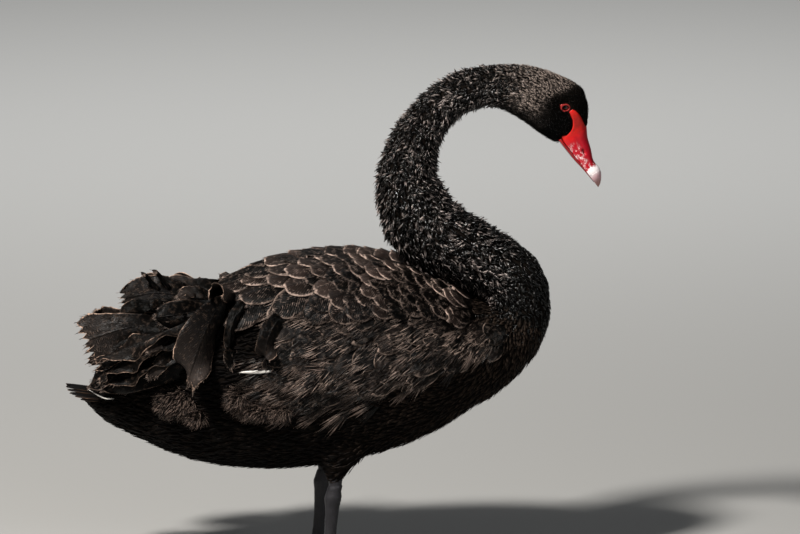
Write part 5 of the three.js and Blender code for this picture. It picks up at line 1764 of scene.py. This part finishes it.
# Legs and feet
# Bare dark legs with rows of horny plates down the front and over the toes, webs between the three
# front toes, a small raised hind toe and blunt black claws.
LEG_CELL = 1.15 * MM
CLAW_CELL = 0.45 * MM
LEG_DARK = (0.005, 0.005, 0.0065, 1)
LEG_WORN = (0.024, 0.023, 0.027, 1)
LEG_CREASE = (0.006, 0.0055, 0.0055, 1)
CLAW_DARK = (0.006, 0.006, 0.006, 1)
CLAW_WORN = (0.05, 0.042, 0.036, 1)
KNEE_HEIGHT = 20 * MM
KNEE_SIDES = 24
SHANK_PLATE = {"apart": 4.2, "high": 0.55}
TOE_PLATE = {"apart": 3.6, "high": 0.45}
STUMP = ((-0.3, 0.9), (0.1, 1.05), (0.5, 1.15), (1.0, 1.2))  # shares of the knee's height and radius
LEG_MIDDLE = {"left": Vector((-18, 47, 0)) * MM, "right": Vector((-4, -47, 0)) * MM}

leg_material, tree, shader = new_material("leg_plates", **{"Specular IOR Level": 0.25})
place = place_node(tree)
cells = new_node(tree, "ShaderNodeTexVoronoi", {"Vector": place, "Scale": 420.0}, feature="DISTANCE_TO_EDGE")
crease = map_node(tree, cells.outputs["Distance"], 0.0, 0.09)
worn = noise_node(tree, place, 90.0, 4.0)
horn = blend_node(tree, worn, LEG_DARK, LEG_WORN)
plates_tone = blend_node(tree, crease, LEG_CREASE, horn)
dull = math_node(tree, "MULTIPLY_ADD", worn, 0.3, 0.3)
feed(tree, shader, plates_tone, dull, crease, bump=0.5, distance=0.3)

claw_material, tree, shader = new_material("claw_horn", **{"Coat Weight": 0.2, "Coat Roughness": 0.3})
place = place_node(tree)
streak = noise_node(tree, place, 350.0, 3.0)
dull = math_node(tree, "MULTIPLY_ADD", streak, 0.3, 0.25)
feed(tree, shader, blend_node(tree, streak, CLAW_DARK, CLAW_WORN), dull)


def remade(name, nodes, cell, iterations, knee=0.0):
    """A fine even skin over copies of solid nodes, smoothed, with a stump of that height on top."""
    bm = bmesh.new()
    for node in nodes:
        bm.from_mesh(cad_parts[node].data)
    if knee:
        high = max(vert.co.z for vert in bm.verts)
        rim = [vert.co for vert in bm.verts if vert.co.z > high - MM]
        middle = sum(rim, Vector()) / len(rim)
        radius = sum((spot - middle).xy.length for spot in rim) / len(rim)
        stump = []
        for up, wide in STUMP:
            centre, reach = middle + Vector((0, 0, up * knee)), radius * wide
            stump.append(ring_of(bm, centre, AHEAD, LEFTWARD, reach, reach, reach, KNEE_SIDES))
        bridge_rings(bm, stump)
    bmesh.ops.remove_doubles(bm, verts=bm.verts, dist=WELD)
    return even_skin(bm, name, cell, factor=0.5, iterations=iterations)


def plate_steps(places, spacing):
    """The height of overlapping plates along a limb: each rises slowly and ends in a step."""
    part = (places / spacing) % 1
    return part**1.5 - ease(0.9, 1.0, part)


for side, side_name in SIDES:
    nodes = (f"tarsus_{side_name}", f"foot_{side_name}")
    mesh = remade(f"bare_leg_{side_name}", nodes, LEG_CELL, 4, KNEE_HEIGHT)
    points, normals = points_of(mesh), normals_of(mesh)
    joint = np.array(LEG_MIDDLE[side_name])
    away = points - joint
    reach = np.hypot(away[:, 0], away[:, 1]) / MM
    front = ease(-0.1, 0.6, normals[:, 0])
    shank = ease(14, 22, points[:, 2] / MM) * front
    shank = shank * plate_steps(-points[:, 2] / MM + 40, SHANK_PLATE["apart"])
    toe_top = ease(0.35, 0.8, normals[:, 2]) * ease(14, 20, reach) * ease(22, 14, points[:, 2] / MM)
    thick_toe = ease(4.0, 6.0, points[:, 2] / MM)
    toes = toe_top * thick_toe * plate_steps(reach, TOE_PLATE["apart"])
    raised = shank * SHANK_PLATE["high"] + toes * TOE_PLATE["high"]
    moved = points + normals * (raised * MM)[:, None]
    moved[:, 2] = np.maximum(moved[:, 2], 0.0)
    move_points(mesh, moved)
    new_object(f"bare_leg_{side_name}", mesh, leg_material, nodes)
    for toe in ("inner", "middle", "outer", "hind"):
        node = f"claw_{toe}_{side_name}"
        claw = remade(f"horn_{node}", (node,), CLAW_CELL, 6)
        points = points_of(claw)
        points[:, 2] = np.maximum(points[:, 2], 0.0)
        move_points(claw, points)
        new_object(f"horn_{node}", claw, claw_material, (node,))

size = [[[*solid_box[0]], [*solid_box[1]]], [[*corner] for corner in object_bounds()]]
